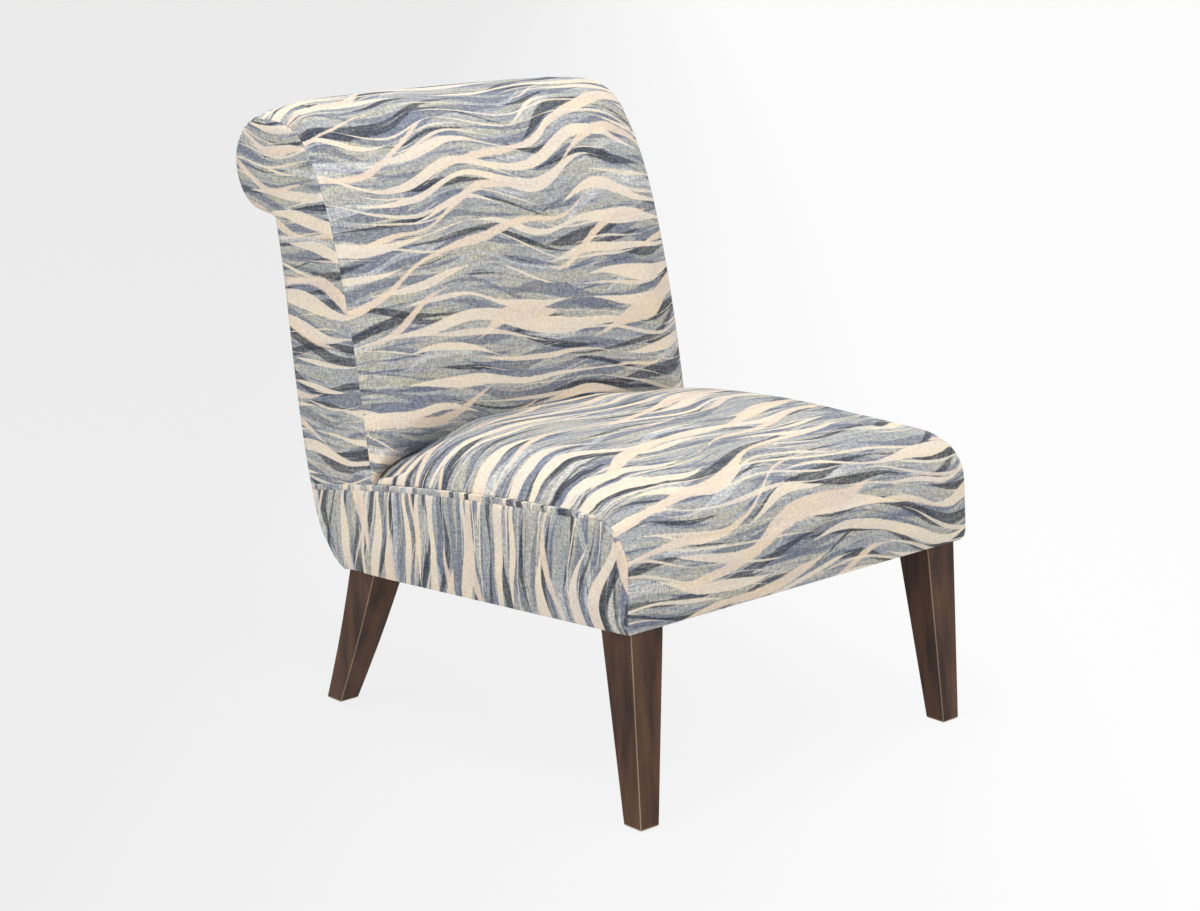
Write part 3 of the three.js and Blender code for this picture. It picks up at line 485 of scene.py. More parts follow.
def mix_colours(tree, blend, factor, first, second):
    node = add_node(tree, "ShaderNodeMix", data_type="RGBA", blend_type=blend)
    for socket, value in ((MIX_FACTOR, factor), (MIX_FIRST, first), (MIX_SECOND, second)):
        if isinstance(value, (int, float, tuple)):
            node.inputs[socket].default_value = value
        else:
            feed(tree, value, node, socket)
    return node.outputs[MIX_RESULT]


def object_place(tree):
    """The place of a point in the piece's own frame, in metres."""
    return add_node(tree, "ShaderNodeTexCoord").outputs["Object"]


def split(tree, vector):
    """The three numbers of a vector."""
    node = add_node(tree, "ShaderNodeSeparateXYZ")
    feed(tree, vector, node, 0)
    return node.outputs


def bumped(tree, shader, height, strength, depth):
    """Lets a noise raise the surface a little."""
    bump = add_node(tree, "ShaderNodeBump", Strength=strength, Distance=depth)
    feed(tree, height, bump, "Height")
    feed(tree, bump.outputs[0], shader, "Normal")


def linear(red, green, blue):
    """A screen colour, 0 to 255, as the linear colour that a shader takes."""
    shares = [value / 255 for value in (red, green, blue)]
    return tuple(((s + 0.055) / 1.055) ** 2.4 if s > 0.04045 else s / 12.92 for s in shares)


def new_material(name, roughness, **values):
    material = bpy.data.materials.new(name)
    material.use_nodes = True
    shader = material.node_tree.nodes["Principled BSDF"]
    shader.inputs["Roughness"].default_value = roughness
    for socket, value in values.items():
        shader.inputs[socket.replace("_", " ")].default_value = value
    return material, material.node_tree, shader


# %% Printed linen
CREAM = linear(239, 225, 205)
PEACH = linear(238, 218, 196)
OLIVE = linear(187, 184, 170)
SAGE = linear(193, 191, 184)
MIST = linear(168, 171, 175)
SLATE = linear(118, 126, 143)
NAVY = linear(40, 48, 62)
CHALK = linear(230, 230, 228)
DARK_INKS = (MIST, SLATE, NAVY)

# The wave that all screens share: cells per metre along and down, and its height in metres
SHARED_WAVE = (5.5, 3.2, 0.085)
# A screen's colour, how well it covers, its row height in metres, how wide its ribbons get as a
# share of the row, how early they end, how steeply the rows slope, and how high its own wave is
Screen = namedtuple("Screen", "colour cover row_height width ends slope wave")
GROUND_SCREENS = [
    Screen(MIST, 0.75, 0.046, 1.10, 0.36, 0.06, 0.030),
    Screen(SLATE, 0.85, 0.040, 0.95, 0.40, -0.05, 0.040),
    Screen(SLATE, 0.80, 0.031, 0.95, 0.43, 0.14, 0.045),
    Screen(CHALK, 0.45, 0.052, 0.80, 0.47, -0.12, 0.040),
    Screen(NAVY, 0.85, 0.052, 0.62, 0.45, -0.16, 0.050),
    Screen(NAVY, 0.90, 0.036, 0.75, 0.47, 0.10, 0.035),
]
LIGHT_SCREENS = [
    Screen(CREAM, 0.96, 0.034, 0.85, 0.38, 0.02, 0.040),
    Screen(PEACH, 0.92, 0.061, 0.62, 0.42, -0.22, 0.050),
    Screen(CREAM, 0.85, 0.021, 0.45, 0.44, 0.10, 0.045),
]
# How often a ribbon wanders and swells, per metre of its length
RIBBON_WAVES = 8.0
RIBBON_SWELLS = 6.0
# How far apart in the noise two rows and two screens are, so that no two ribbons are alike
ROW_JUMP = 3.7
SCREEN_JUMP = 11.3
EDGE_SHARPNESS = 26
EDGE_WEAR = 0.07

# Cells per metre, along the ribbons and across them, of the ground's brush marks, of the finer
# strokes in all dark colours, of the dabs that wear the edges, of weft and warp, and of the tint
BRUSH_SCALE = (9.0, 130.0)
STROKE_SCALE = (26.0, 240.0)
DAB_SCALE = (90.0, 90.0, 1.0)
WEFT_SCALE = (130.0, 460.0, 1.0)
WARP_SCALE = (460.0, 110.0, 1.0)
TINT_SCALE = (11.0, 34.0, 1.0)
STROKE_SEED = 3

# Where along a noise each shade stands: the ground's colours, then how well ink holds on the
# strokes and in the weave, then how much strokes, weave and tint lighten or darken the cloth
GROUND_COLOURS = [(0.33, SLATE), (0.41, MIST), (0.50, SAGE), (0.60, OLIVE)]
INK_ON_STROKES = [(0.34, (0.7, 0.7, 0.7)), (0.52, (1, 1, 1))]
INK_IN_WEAVE = [(0.46, (1, 1, 1)), (0.62, (0.82, 0.82, 0.82))]
GROUND_STROKES = [(0.3, (0.82, 0.84, 0.87)), (0.65, (1.06, 1.05, 1.03))]
GROUND_WEAVE = [(0.40, (0.74, 0.74, 0.75)), (0.58, (1.14, 1.14, 1.13))]
CLOTH_TINT = [(0.36, (0.94, 0.95, 1.02)), (0.64, (1.04, 1.03, 0.97))]
CLOTH_WEAVE = [(0.38, (0.87, 0.87, 0.87)), (0.60, (1.06, 1.06, 1.06))]
WEAVE_BUMP, WEAVE_HEIGHT = 0.35, 0.4 * MM


def long_noise(tree, across, down, scale, seed, detail):
    """Noise over the cloth with its own cells per metre along the ribbons and across them."""
    place = joined(tree, times(tree, across, scale[0]), times(tree, down, scale[1]), seed)
    return noise(tree, place, detail)


def bent_rows(tree, across, down, wave, seed):
    """How far down the cloth a place is, once the rows are bent by a slow noise."""
    bend = long_noise(tree, across, down, wave[:2], seed, detail=0.0)
    return plus(tree, down, times(tree, minus(tree, bend, 0.5), wave[2]))


def ribbons(tree, across, down, screen, seed, wear):
    """How much of one screen's colour is on the cloth: 1 inside its ribbons, 0 between them."""
    down = plus(tree, down, times(tree, across, screen.slope))
    down = bent_rows(tree, across, down, (*SHARED_WAVE[:2], screen.wave), seed)
    level = math_node(tree, "DIVIDE", down, screen.row_height)
    row = math_node(tree, "FLOOR", level, 0)
    inside = minus(tree, minus(tree, level, row), 0.5)
    row = times(tree, row, ROW_JUMP)
    wander = noise(tree, joined(tree, times(tree, across, RIBBON_WAVES), row, seed), detail=0.0)
    swell = noise(tree, joined(tree, row, times(tree, across, RIBBON_SWELLS), seed), detail=0.0)
    off = math_node(tree, "ABSOLUTE", plus(tree, inside, minus(tree, wander, 0.5)), 0)
    room = times(tree, minus(tree, swell, screen.ends), screen.width)
    sharp = times(tree, minus(tree, plus(tree, room, wear), off), EDGE_SHARPNESS)
    sharp = math_node(tree, "MINIMUM", math_node(tree, "MAXIMUM", sharp, 0), 1)
    return times(tree, sharp, screen.cover)


def print_over(tree, colour, screens, seed, across, down, wear, ink):
    """Prints screens over a colour, one after the other; dark ones take up ink unevenly."""
    for screen in screens:
        seed += SCREEN_JUMP
        mask = ribbons(tree, across, down, screen, seed, wear)
        if screen.colour in DARK_INKS:
            mask = times(tree, mask, ink)
        colour = mix_colours(tree, "MIX", mask, colour, (*screen.colour, 1))
    return colour


def printed_linen():
    material, tree, shader = new_material("printed_linen", roughness=0.88, Sheen_Weight=0.08)
    uv = add_node(tree, "ShaderNodeUVMap", uv_map="cloth").outputs[0]
    place = split(tree, uv)
    across = place[0]
    down = bent_rows(tree, across, place[1], SHARED_WAVE, 0)

    brushed = long_noise(tree, across, down, BRUSH_SCALE, 0, detail=3.0)
    strokes = long_noise(tree, across, down, STROKE_SCALE, STROKE_SEED, detail=3.0)
    dabs = noise(tree, stretched(tree, uv, DAB_SCALE), detail=3.0)
    wear = times(tree, minus(tree, dabs, 0.5), EDGE_WEAR)
    weft = noise(tree, stretched(tree, uv, WEFT_SCALE))
    warp = noise(tree, stretched(tree, uv, WARP_SCALE))
    weave = times(tree, plus(tree, weft, warp), 0.5)
    tint = noise(tree, stretched(tree, uv, TINT_SCALE), detail=3.0)
    ink = shaded(tree, ramp(tree, strokes, INK_ON_STROKES), weave, INK_IN_WEAVE)

    cloth = ramp(tree, brushed, GROUND_COLOURS)
    cloth = print_over(tree, cloth, GROUND_SCREENS, 0, across, down, wear, ink)
    cloth = shaded(tree, cloth, strokes, GROUND_STROKES)
    cloth = shaded(tree, cloth, weave, GROUND_WEAVE)
    seed = len(GROUND_SCREENS) * SCREEN_JUMP
    cloth = print_over(tree, cloth, LIGHT_SCREENS, seed, across, down, wear, ink)
    cloth = shaded(tree, cloth, tint, CLOTH_TINT)
    cloth = shaded(tree, cloth, weave, CLOTH_WEAVE)
    feed(tree, cloth, shader, "Base Color")
    bumped(tree, shader, weave, WEAVE_BUMP, WEAVE_HEIGHT)
    return material


LINEN = printed_linen()
print("screens:", len(GROUND_SCREENS) + len(LIGHT_SCREENS))

# %% [markdown]
# ## The seat
# The seat cover lies over a crowned foam pad, turns over the rounded front edge and ends under
# the front rail. It is padded out a little: the foam is firm and the cover is tight. At its rear
# corners the cover is drawn down under the back, so there it slopes where it is round in front.

# %% Seat cover
SEAM_ALLOWANCE = 9 * MM
# How far the rear corners are drawn down, and between which places, front to back, this sets in
SLOPE_DEPTH = 21 * MM
SLOPE_FROM, SLOPE_FULL = 0.02, 0.095
# The distances from the side seam over which the slope sets in and ends
SLOPE_START = 16 * MM
SLOPE_END = 185 * MM
SLOPE_FADE = 120 * MM
SEAT_CUT = (0, 0)


def draw_corners_down(piece):
    """Draws the cover down beside its side seams, towards the back."""
    half_width = max(vertex.co.x for vertex in piece.data.vertices if vertex.co.y > SLOPE_FULL)
    for vertex in piece.data.vertices:
        full = band(half_width - abs(vertex.co.x), SLOPE_START, SLOPE_END, SLOPE_FADE)
        vertex.co.z -= SLOPE_DEPTH * full * rise(vertex.co.y, SLOPE_FROM, SLOPE_FULL)


def seat_cover():
    piece = make_piece("seat_cushion", outer_face("seat_cover", UP))
    piece = subdivide(piece, SUBDIVISIONS)
    line = middle_line(piece)
    pad_out(piece, pressure=4, cap=3 * MM)
    draw_corners_down(piece)
    turn_in(piece, side_edges, lambda vert: -vert.normal * SEAM_ALLOWANCE)
    map_pattern(piece, along_cover(line, SEAT_CUT))
    give_body(piece, CLOTH_THICKNESS)
    return finish_soft(piece, ["seat_cover", "seat_foam"])


seat_cover()

# %% [markdown]
# ## The inside back
# One cloth goes from the seat up the face of the back, over the roll and under it to the neck.
# The padding under it is full right up to the roll's sides in front, where one leans on it, and
# falls away to the rear. Round the roll the cloth is longer than the seam at its side, so it is
# eased in by small gathers. Each is a wave along the seam that dies out within a finger's breadth.

# %% Inside back
# How the cover goes on below its lower edge, behind the seat: backwards and down
TUCK = Vector((0, 0.006, -0.025))
GATHER_LENGTH = 26 * MM
GATHER_SPACING = 12 * MM
GATHER_DEPTH = 1.3 * MM
# Between these heights the roll's gathers and its shoulders set in
ROLL_FROM, ROLL_FULL = 0.745, 0.785
# How far the shoulders stand up in front and fall away at the rear
SHOULDER_LIFT = 6 * MM
SHOULDER_FALL = 4 * MM
# Over which change of the surface's direction the one becomes the other
SHOULDER_TURN = 0.5
# The distances from the side seam over which the shoulders set in and end
SHOULDER_RISE = 22 * MM
SHOULDER_END = 130 * MM
SHOULDER_FADE = 95 * MM
INSIDE_CUT = (0.37, 1.3)


def fill_shoulders(piece):
    """Pads the roll's shoulders out in front and draws them in at the rear."""
    half_width = max(vertex.co.x for vertex in piece.data.vertices)
    lifts = []
    for vertex in piece.data.vertices:
        full = band(half_width - abs(vertex.co.x), SHOULDER_RISE, SHOULDER_END, SHOULDER_FADE)
        high = rise(vertex.co.z, ROLL_FROM, ROLL_FULL)
        in_front = smooth_share(0.5 - vertex.normal.y / SHOULDER_TURN)
        lift = mixed(-SHOULDER_FALL, SHOULDER_LIFT, in_front)
        lifts.append((vertex, vertex.normal * lift * full * high))
    for vertex, step in lifts:
        vertex.co += step


def gather_seams(piece, line):
    """Small folds that run in from the side seams, where the cloth is eased round the roll."""
    half_width = max(vertex.co.x for vertex in piece.data.vertices)
    eased = []
    for vertex in piece.data.vertices:
        near = smooth_share(1 - (half_width - abs(vertex.co.x)) / GATHER_LENGTH)
        high = rise(vertex.co.z, ROLL_FROM, ROLL_FULL)
        if near * high > 0:
            turn = walked_distance(line, vertex.co.yz) / GATHER_SPACING * math.tau
            eased.append((vertex, vertex.normal * GATHER_DEPTH * near * high * math.sin(turn)))
    for vertex, step in eased:
        vertex.co += step
    print(f"{piece.name}: {len(eased)} points gathered")


def inside_back():
    piece = make_piece("inside_back", outer_face("inside_back_cover", UP))
    piece = subdivide(piece, SUBDIVISIONS)
    tuck_in(piece, DOWN, TUCK)
    line = middle_line(piece)
    map_pattern(piece, along_cover(line, INSIDE_CUT))
    pad_out(piece, pressure=4, cap=3 * MM)
    fill_shoulders(piece)
    gather_seams(piece, line)
    return piece


inside_back_cushion = inside_back()

# %% [markdown]
# ## The outside back
# Below the roll the back of the chair is one plain cloth, drawn tight over the rear edges of the
# posts. It has no padding, so it is only smoothed.

# %% Outside back
OUTSIDE_CUT = (0.81, 2.9)


def outside_back():
    piece = make_piece("outside_back_panel", outer_face("outside_back", BACKWARD))
    piece = subdivide(piece, SUBDIVISIONS)
    map_pattern(piece, along_cover(middle_line(piece), OUTSIDE_CUT))
    return piece


outside_back_panel = outside_back()
print("outside back, faces:", len(outside_back_panel.data.polygons))

# %% [markdown]
# ## Back facings
# A facing is a padded panel in the shape of the back's side. Its outline is taken from the edges
# of the two covers that it is sewn to, so all three meet in one line. The closed outline is
# filled with one face, then cut into a net of small ones that the cloth solver can bend.

# %% Facings
FACING_PROUD = 0.3 * MM
FACING_NET = 12 * MM
# The covers' edges below this height belong to the tucked-in parts
FACING_LOW = 0.294
FACING_CUT = (1.5, 0.4)


def copy_edges(target, edges, made):
    """Copies edges into another bmesh; made remembers which vertex became which."""
    for edge in edges:
        for vert in edge.verts:
            if vert not in made:
                made[vert] = target.verts.new(vert.co)
        target.edges.new([made[vert] for vert in edge.verts])


def loose_ends(sheet):
    return [vert for vert in sheet.verts if len(vert.link_edges) == 1]


def facing_outline(side):
    """The closed outline of a facing, from the covers' edges on that side."""
    outline, covers = bmesh.new(), []
    for cover in (inside_back_cushion, outside_back_panel):
        sheet = bmesh.new()
        sheet.from_mesh(cover.data)
        edges = side_towards(sheet, Vector((side, 0, 0)))
        seam = [edge for edge in edges if min(vert.co.z for vert in edge.verts) > FACING_LOW]
        copy_edges(outline, seam, {})
        covers.append(sheet)
    ends = sorted(loose_ends(outline), key=lambda vert: vert.co.z)
    outline.edges.new(ends[:2])
    outline.edges.new(ends[2:])
    for sheet in covers:
        sheet.free()
    return outline


def cut_into_net(sheet, axes, spacing):
    """Cuts a flat sheet along evenly spaced planes across two of the axes."""
    for axis in axes:
        normal = Vector([float(i == axis) for i in range(3)])
        low = min(vert.co[axis] for vert in sheet.verts)
        high = max(vert.co[axis] for vert in sheet.verts)
        for step in range(1, int((high - low) / spacing)):
            place = normal * (low + step * spacing)
            geometry = sheet.verts[:] + sheet.edges[:] + sheet.faces[:]
            bmesh.ops.bisect_plane(
                sheet, geom=geometry, dist=MERGE_DISTANCE, plane_co=place, plane_no=normal)


def back_facing(name, side):
    sheet = facing_outline(side)
    bmesh.ops.contextual_create(sheet, geom=sheet.edges[:])
    sheet.normal_update()
    if sheet.faces[:][0].normal.x * side < 0:
        bmesh.ops.reverse_faces(sheet, faces=sheet.faces)
    cut_into_net(sheet, (Y, Z), FACING_NET)
    bmesh.ops.translate(sheet, verts=sheet.verts, vec=(side * FACING_PROUD, 0, 0))
    piece = make_piece(f"back_side_{name}", sheet)
    map_pattern(piece, lambda co: (co.y + FACING_CUT[0] * side, co.z + FACING_CUT[1]))
    pad_out(piece, pressure=3, cap=2 * MM)
    give_body(piece, CLOTH_THICKNESS)
    return finish_soft(piece, [f"back_facing_{name}"])


for name, side in SIDES.items():
    facing = back_facing(name, side)
    print(facing.name, "faces:", len(facing.data.polygons))

for cover in (inside_back_cushion, outside_back_panel):
    give_body(cover, CLOTH_THICKNESS)
finish_soft(inside_back_cushion, ["inside_back_cover", "back_foam"])
finish_soft(outside_back_panel, ["outside_back"])

# %% [markdown]
# ## Side borders and their lips
# The seat's borders are cut with the stripes upright. Where border and seat cover are sewn
# together, a strip of the same cloth is folded into a flat lip, which hides the seam. It is drawn
# up from the border's top edge, gets its depth from Solidify, and runs out at the front edge.

# %% Borders and lips
# How far the lip stands up from the border's edge, reaches below it and stands out from it, how
# deep it goes in, and how round its edges are
LIP_RISE = 5 * MM
LIP_OVERLAP = 3 * MM
LIP_PROUD = 0.7 * MM
LIP_DEPTH = 7 * MM
LIP_EDGE = 2 * MM
LIP_EDGE_SEGMENTS = 3
# Over its last stretch the lip draws in below the seat cover's edge
LIP_RUNOUT = 60 * MM
LIP_END_RISE = 3.4 * MM
LIP_END_INSET = 1.2 * MM
# How far in front of the CAD welt the lip starts, and how far before the border's end it stops
LIP_LEAD = 8 * MM
LIP_REAR_END = 1.5 * MM
# Points of the lip's drawn-in rear end that fall together closer than this are merged
LIP_MERGE = LIP_REAR_END / 2
LIP_CUT = (0.2, 0.1)
# The border's rear end draws in to the width of the back
REAR_HALF_WIDTH = 294.5 * MM
REAR_DRAW = 60 * MM
REAR_FULLNESS = 18 * MM
# The border's lower rear corner, which subdivision rounds off more than the cover behind it
LOW_CORNER = Vector((0.179, 0.207))
LOW_CORNER_PUSH = Vector((0.0005, -0.0036))
LOW_CORNER_REACH = 30 * MM
BORDER_CUT = (0.5, 0.7)


def shape_rear_end(piece, side):
    """Draws the border's rear end in to the back's width and fills its lower rear corner."""
    rear = max(vertex.co.y for vertex in piece.data.vertices)
    for vertex in piece.data.vertices:
        limit = REAR_HALF_WIDTH + REAR_FULLNESS * smooth_share((rear - vertex.co.y) / REAR_DRAW)
        vertex.co.x = side * min(abs(vertex.co.x), limit)
        near = smooth_share(1 - (vertex.co.yz - LOW_CORNER).length / LOW_CORNER_REACH)
        vertex.co += Vector((0, *(LOW_CORNER_PUSH * near)))


def seat_border(name, side):
    sheet = face_towards(f"seat_border_{name}", Vector((side, 0, 0)))
    piece = subdivide(make_piece(f"seat_side_{name}", sheet), SUBDIVISIONS)
    shape_rear_end(piece, side)
    pad_out(piece, pressure=3, cap=2 * MM)
    return piece


def seat_lip(name, side, border):
    """A strip along the border's top edge, as deep and as round as a folded lip."""
    welt = frame["nodes"][f"seat_welt_{name}"].data
    front = min(vertex.co.y for vertex in welt.vertices) - LIP_LEAD
    cover, sheet = bmesh.new(), bmesh.new()
    cover.from_mesh(border.data)
    top = side_towards(cover, UP)
    copy_edges(sheet, [edge for edge in top if min(v.co.y for v in edge.verts) > front], {})
    cover.free()
    grown = bmesh.ops.extrude_edge_only(sheet, edges=sheet.edges[:])["geom"]
    upper = {item for item in grown if isinstance(item, bmesh.types.BMVert)}
    rear = max(vert.co.y for vert in sheet.verts)
    for vert in sheet.verts:
        share = smooth_share((vert.co.y - front) / LIP_RUNOUT)
        vert.co.x += side * mixed(-LIP_END_INSET, LIP_PROUD, share)
        vert.co.y = min(vert.co.y, rear - LIP_REAR_END)
        up, down = mixed(LIP_END_RISE, LIP_RISE, share), -LIP_OVERLAP * share
        vert.co.z += up if vert in upper else down
    bmesh.ops.remove_doubles(sheet, verts=sheet.verts, dist=LIP_MERGE)
    bmesh.ops.recalc_face_normals(sheet, faces=sheet.faces)
    sheet.normal_update()
    if sheet.faces[:][0].normal.x * side < 0:
        bmesh.ops.reverse_faces(sheet, faces=sheet.faces)
    piece = make_piece(f"seat_lip_{name}", sheet)
    map_pattern(piece, lambda co: (co.z + LIP_CUT[0], co.y + LIP_CUT[1] * side))
    fold = piece.modifiers.new("fold", "SOLIDIFY")
    fold.thickness = LIP_DEPTH
    fold.offset = INWARDS
    fold.use_even_offset = True
    rounding = piece.modifiers.new("rounding", "BEVEL")
    rounding.width = LIP_EDGE
    rounding.segments = LIP_EDGE_SEGMENTS
    rounding.limit_method = "ANGLE"
    bake_modifiers(piece)
    return finish_soft(piece, [f"seat_welt_{name}"])


for name, side in SIDES.items():
    border = seat_border(name, side)
    lip = seat_lip(name, side, border)
    turn_in(border, outer_edges, lambda vert: Vector((-side * SEAM_ALLOWANCE, 0, 0)))
    map_pattern(border, lambda co: (co.z + BORDER_CUT[0] * side, co.y + BORDER_CUT[1]))
    give_body(border, CLOTH_THICKNESS)
    finish_soft(border, [f"seat_border_{name}"])
    print(lip.name, "faces:", len(lip.data.polygons))

# %% [markdown]
# ## Espresso wood
# The legs are stained dark brown, cloudy and with a fine upright grain. Along the corners and
# round
# the foot a thin pale line is painted: partly stain worn where hands and feet rub, partly a
# painted highlight where the bevels catch the light.

# %% Espresso wood
# Cells per metre of the stain's clouds and of the grain, and where the clouds start
STAIN_SCALE = (38.0, 38.0, 7.0)
GRAIN_SCALE = (190.0, 190.0, 9.0)
STAIN_SHIFT = (3.1, 1.7, 2.0)
STAIN_COLOURS = [(0.3, linear(54, 39, 31)), (0.5, linear(86, 60, 45)), (0.72, linear(102, 73, 55))]
GRAIN_SHADES = [(0.3, (0.86, 0.85, 0.84)), (0.7, (1.08, 1.07, 1.05))]
# The pale line's colour and strength on the bevelled corners and the foot: partly worn stain,
# partly painted highlight; its strength follows the stain's clouds
EDGE_WEAR_AND_HIGHLIGHT = linear(158, 138, 118)
EDGE_WEAR_AND_HIGHLIGHT_SHARE = [(0.4, (0.75, 0.75, 0.75)), (0.6, (1, 1, 1))]
# A face is one of a leg's bevelled corners if its normal's x times its y is more than this
CORNER_FACING = 0.3
FOOT_EDGE_HEIGHT = 4.2 * MM


def espresso_wood():
    material, tree, shader = new_material("espresso_wood", roughness=0.5, Specular_IOR_Level=0.22)
    place = object_place(tree)
    stain = noise(tree, stretched(tree, place, STAIN_SCALE, STAIN_SHIFT))
    grain = noise(tree, stretched(tree, place, GRAIN_SCALE), detail=3.0)
    wood = shaded(tree, ramp(tree, stain, STAIN_COLOURS), grain, GRAIN_SHADES)
    # Mask of the painted highlight and wear: the bevelled corner faces and the foot's lower edge
    normal = split(tree, add_node(tree, "ShaderNodeNewGeometry").outputs["True Normal"])
    both = math_node(tree, "ABSOLUTE", times(tree, normal[0], normal[1]), 0)
    corner = math_node(tree, "GREATER_THAN", both, CORNER_FACING)
    foot = math_node(tree, "LESS_THAN", split(tree, place)[2], FOOT_EDGE_HEIGHT)
    edge = times(tree, math_node(tree, "MAXIMUM", corner, foot), ramp(tree, stain, EDGE_WEAR_AND_HIGHLIGHT_SHARE))
    feed(tree, mix_colours(tree, "MIX", edge, wood, (*EDGE_WEAR_AND_HIGHLIGHT, 1)), shader, "Base Color")
    return material


ESPRESSO = espresso_wood()
print("material:", ESPRESSO.name)

# %% [markdown]
# ## The inside of the chair
# Nobody sees these pieces in a whole chair, but each still gets the finish it is sold with: pale
# raw hardwood, zinc-plated steel, black webbing and cambric, brown board, dark nylon.

# %% Finishes for the inside
HARDWOOD_SCALE = (12.0, 60.0, 90.0)
HARDWOOD_COLOURS = [(0.3, linear(186, 152, 108)), (0.7, linear(214, 186, 142))]
# Where along the noise a plain finish has its darker and its lighter shade
LOW_SHADE, HIGH_SHADE = 0.3, 0.7
FINISH_BUMP, FINISH_HEIGHT = 0.2, 0.2 * MM


def raw_hardwood():
    material, tree, shader = new_material("raw_hardwood", roughness=0.7)
    grain = noise(tree, stretched(tree, object_place(tree), HARDWOOD_SCALE), detail=4.0)
    feed(tree, ramp(tree, grain, HARDWOOD_COLOURS), shader, "Base Color")
    return material


def plain_finish(name, low, high, scale, roughness, **values):
    """A colour that varies a little between two shades, for pieces with no grain."""
    material, tree, shader = new_material(name, roughness, **values)
    mottle = noise(tree, stretched(tree, object_place(tree), (scale, scale, scale)), detail=3.0)
    feed(tree, ramp(tree, mottle, [(LOW_SHADE, low), (HIGH_SHADE, high)]), shader, "Base Color")
    bumped(tree, shader, mottle, FINISH_BUMP, FINISH_HEIGHT)
    return material


FINISHES = {
    "espresso_wood": ESPRESSO,
    "frame_wood": raw_hardwood(),
    "spring_steel": plain_finish(
        "plated_steel", linear(150, 152, 156), linear(178, 180, 184), 300.0, 0.35, Metallic=0.9),
    "webbing": plain_finish("black_webbing", linear(40, 44, 48), linear(58, 62, 67), 700.0, 0.9),
    "cambric": plain_finish("black_cambric", linear(28, 29, 32), linear(44, 45, 49), 500.0, 0.95),
    "cardboard": plain_finish(
        "brown_board", linear(146, 119, 82), linear(168, 140, 100), 120.0, 0.9),
    "nylon": plain_finish("dark_nylon", linear(52, 48, 45), linear(64, 60, 56), 200.0, 0.5),
}

slots = {part["node"]: part["material_slot"] for part in frame["record"]["subparts"]}
finished = 0
for node, piece in frame["nodes"].items():
    if slots[node] in FINISHES:
        piece.data.materials.clear()
        piece.data.materials.append(FINISHES[slots[node]])
        finished += 1
print("CAD nodes finished:", finished)

# %% [markdown]
# ## Cloths under the seat
# Under the foam a deck cloth keeps the padding out of the springs, and a black dust cover closes
# the chair from below. It is cut out round the legs and stapled to the rails, so it is stretched,
# but between the rails it still sags a few millimetres. The CAD model's lower face is cut into a
# net again and blown down by the cloth solver, as a stapled cloth sags.

# %% Deck cloth and dust cover
DUST_NET = 24 * MM
LINING_THICKNESS = 0.6 * MM
DECK_SUBDIVISIONS = 2


def lining(piece, node):
    """Gives a lining its body and finish, hangs it on the root body and hides the CAD node that it
    was cut to.
    """
    give_body(piece, LINING_THICKNESS)
    piece.data.materials.append(FINISHES["cambric"])
    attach(piece, "root")
    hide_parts(node)
    print(f"{piece.name}: {len(piece.data.polygons)} faces")
    return piece


def dust_cover():
    sheet = face_towards("dust_cover", DOWN)
    bmesh.ops.dissolve_faces(sheet, faces=sheet.faces[:])
    cut_into_net(sheet, (X, Y), DUST_NET)
    piece = make_piece("dust_sheet", sheet)
    pad_out(piece, pressure=1, cap=4 * MM)
    return lining(piece, "dust_cover")


def deck_cloth():
    piece = make_piece("deck_cloth", face_towards("seat_deck", UP))
    piece = subdivide(piece, DECK_SUBDIVISIONS)
    return lining(piece, "seat_deck")


dust_cover()
deck_cloth()

# %% [markdown]
# ## Floor and light
# The picture was taken on an endless pale floor that is a little greyer on the left. The light is
# plain and even: a white world, and one large soft lamp from above, a little to the front left,
# that gives the roll and the cushions their shape.

# %% Floor
FLOOR_REACH = 40
FLOOR_LEFT = linear(237, 237, 237)
FLOOR_RIGHT = linear(254, 254, 254)
# How fast the floor gets paler to the right, per metre, and how pale it is below the chair
FLOOR_GRADIENT, FLOOR_MIDDLE = 0.7, 0.5
# Beyond the picture the floor fades to the backdrop's shade, so that no low view shows its end
FLOOR_FAR = linear(248, 248, 248)
FADE_FROM, FADE_TO = 14, 38
# Share of the floor that the camera sees as plain colour, the rest takes light and shadow
FLOOR_GLOW = 0.94
# How much of its light the floor throws back on the chair, as a darker floor would
FLOOR_BOUNCE = (0.85, 0.85, 0.85, 1)


def floor_colour(tree):
    """The floor's shade: paler to the picture's right, one shade far away."""
    place = object_place(tree)
    x, y, _ = split(tree, place)
    rightwards = minus(
        tree, times(tree, x, math.sin(CAMERA_YAW)), times(tree, y, math.cos(CAMERA_YAW)))
    share = plus(tree, times(tree, rightwards, FLOOR_GRADIENT), FLOOR_MIDDLE)
    near = ramp(tree, share, [(0.0, FLOOR_LEFT), (1.0, FLOOR_RIGHT)])
    distance = add_node(tree, "ShaderNodeVectorMath", operation="LENGTH")
    feed(tree, place, distance, 0)
    reach = math_node(tree, "DIVIDE", distance.outputs["Value"], FLOOR_REACH)
    far = ramp(tree, reach, [
        (FADE_FROM / FLOOR_REACH, (0, 0, 0)), (FADE_TO / FLOOR_REACH, (1, 1, 1))], "EASE")
    return mix_colours(tree, "MIX", far, near, (*FLOOR_FAR, 1))


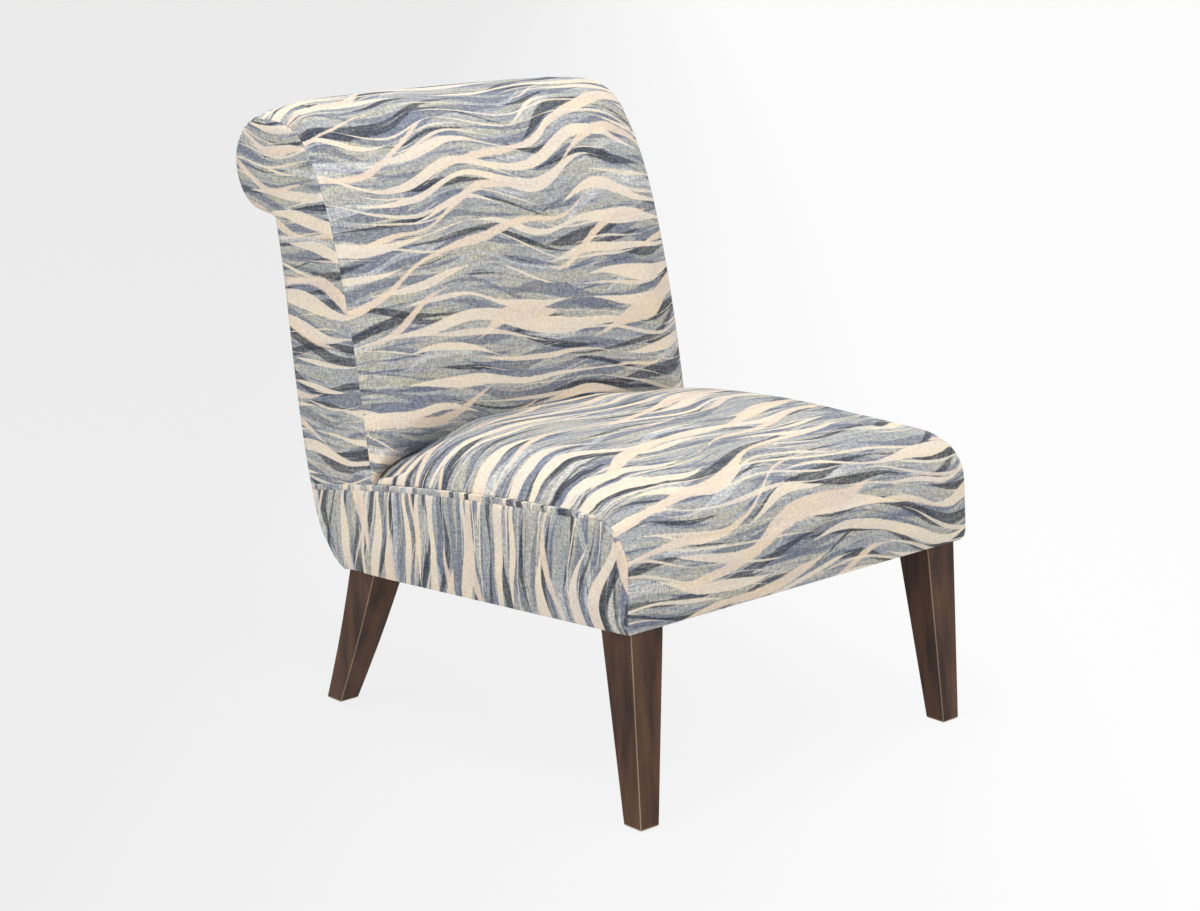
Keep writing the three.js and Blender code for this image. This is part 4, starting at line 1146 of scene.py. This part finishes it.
def floor_material():
    material, tree, shader = new_material("pale_floor", roughness=1.0)
    colour = floor_colour(tree)
    feed(tree, mix_colours(tree, "MULTIPLY", 1.0, colour, FLOOR_BOUNCE), shader, "Base Color")
    glow = add_node(tree, "ShaderNodeEmission")
    feed(tree, colour, glow, "Color")
    path = add_node(tree, "ShaderNodeLightPath").outputs
    seen = math_node(tree, "MAXIMUM", path["Is Camera Ray"], path["Is Glossy Ray"])
    blend = add_node(tree, "ShaderNodeMixShader")
    feed(tree, times(tree, seen, FLOOR_GLOW), blend, 0)
    feed(tree, shader.outputs[0], blend, 1)
    feed(tree, glow.outputs[0], blend, 2)
    feed(tree, blend.outputs[0], tree.nodes["Material Output"], "Surface")
    return material


def make_floor():
    sheet = bmesh.new()
    bmesh.ops.create_grid(sheet, x_segments=1, y_segments=1, size=FLOOR_REACH)
    mesh = bpy.data.meshes.new("floor")
    sheet.to_mesh(mesh)
    sheet.free()
    mesh.materials.append(floor_material())
    floor = bpy.data.objects.new("floor", mesh)
    scene.collection.objects.link(floor)
    print("floor:", 2 * FLOOR_REACH, "m wide")


make_floor()

# %% Light
WORLD_WHITE = (1, 1, 1, 1)
WORLD_STRENGTH = 0.75
# What the camera sees beyond the floor's end, from low down: a shade as pale as the floor
BACKDROP = linear(246, 246, 246)
LAMP_PLACE = Vector((-1.1, -0.5, 3.9))
LAMP_SIZE = 2.5
LAMP_POWER = 89


def make_light():
    world = bpy.data.worlds.new("studio")
    world.use_nodes = True
    tree = world.node_tree
    light = tree.nodes["Background"]
    light.inputs["Color"].default_value = WORLD_WHITE
    light.inputs["Strength"].default_value = WORLD_STRENGTH
    backdrop = add_node(tree, "ShaderNodeBackground")
    backdrop.inputs["Color"].default_value = (*BACKDROP, 1)
    blend = add_node(tree, "ShaderNodeMixShader")
    feed(tree, add_node(tree, "ShaderNodeLightPath").outputs["Is Camera Ray"], blend, 0)
    feed(tree, light.outputs[0], blend, 1)
    feed(tree, backdrop.outputs[0], blend, 2)
    feed(tree, blend.outputs[0], tree.nodes["World Output"], "Surface")
    scene.world = world
    data = bpy.data.lights.new("soft_lamp", "AREA")
    data.size = LAMP_SIZE
    data.energy = LAMP_POWER
    lamp = bpy.data.objects.new("soft_lamp", data)
    scene.collection.objects.link(lamp)
    lamp.location = LAMP_PLACE
    lamp.rotation_euler = (-LAMP_PLACE).to_track_quat("-Z", "Y").to_euler()
    print("lamp:", LAMP_POWER, "W at", list(lamp.location))


make_light()
scene.view_settings.view_transform = "Standard"
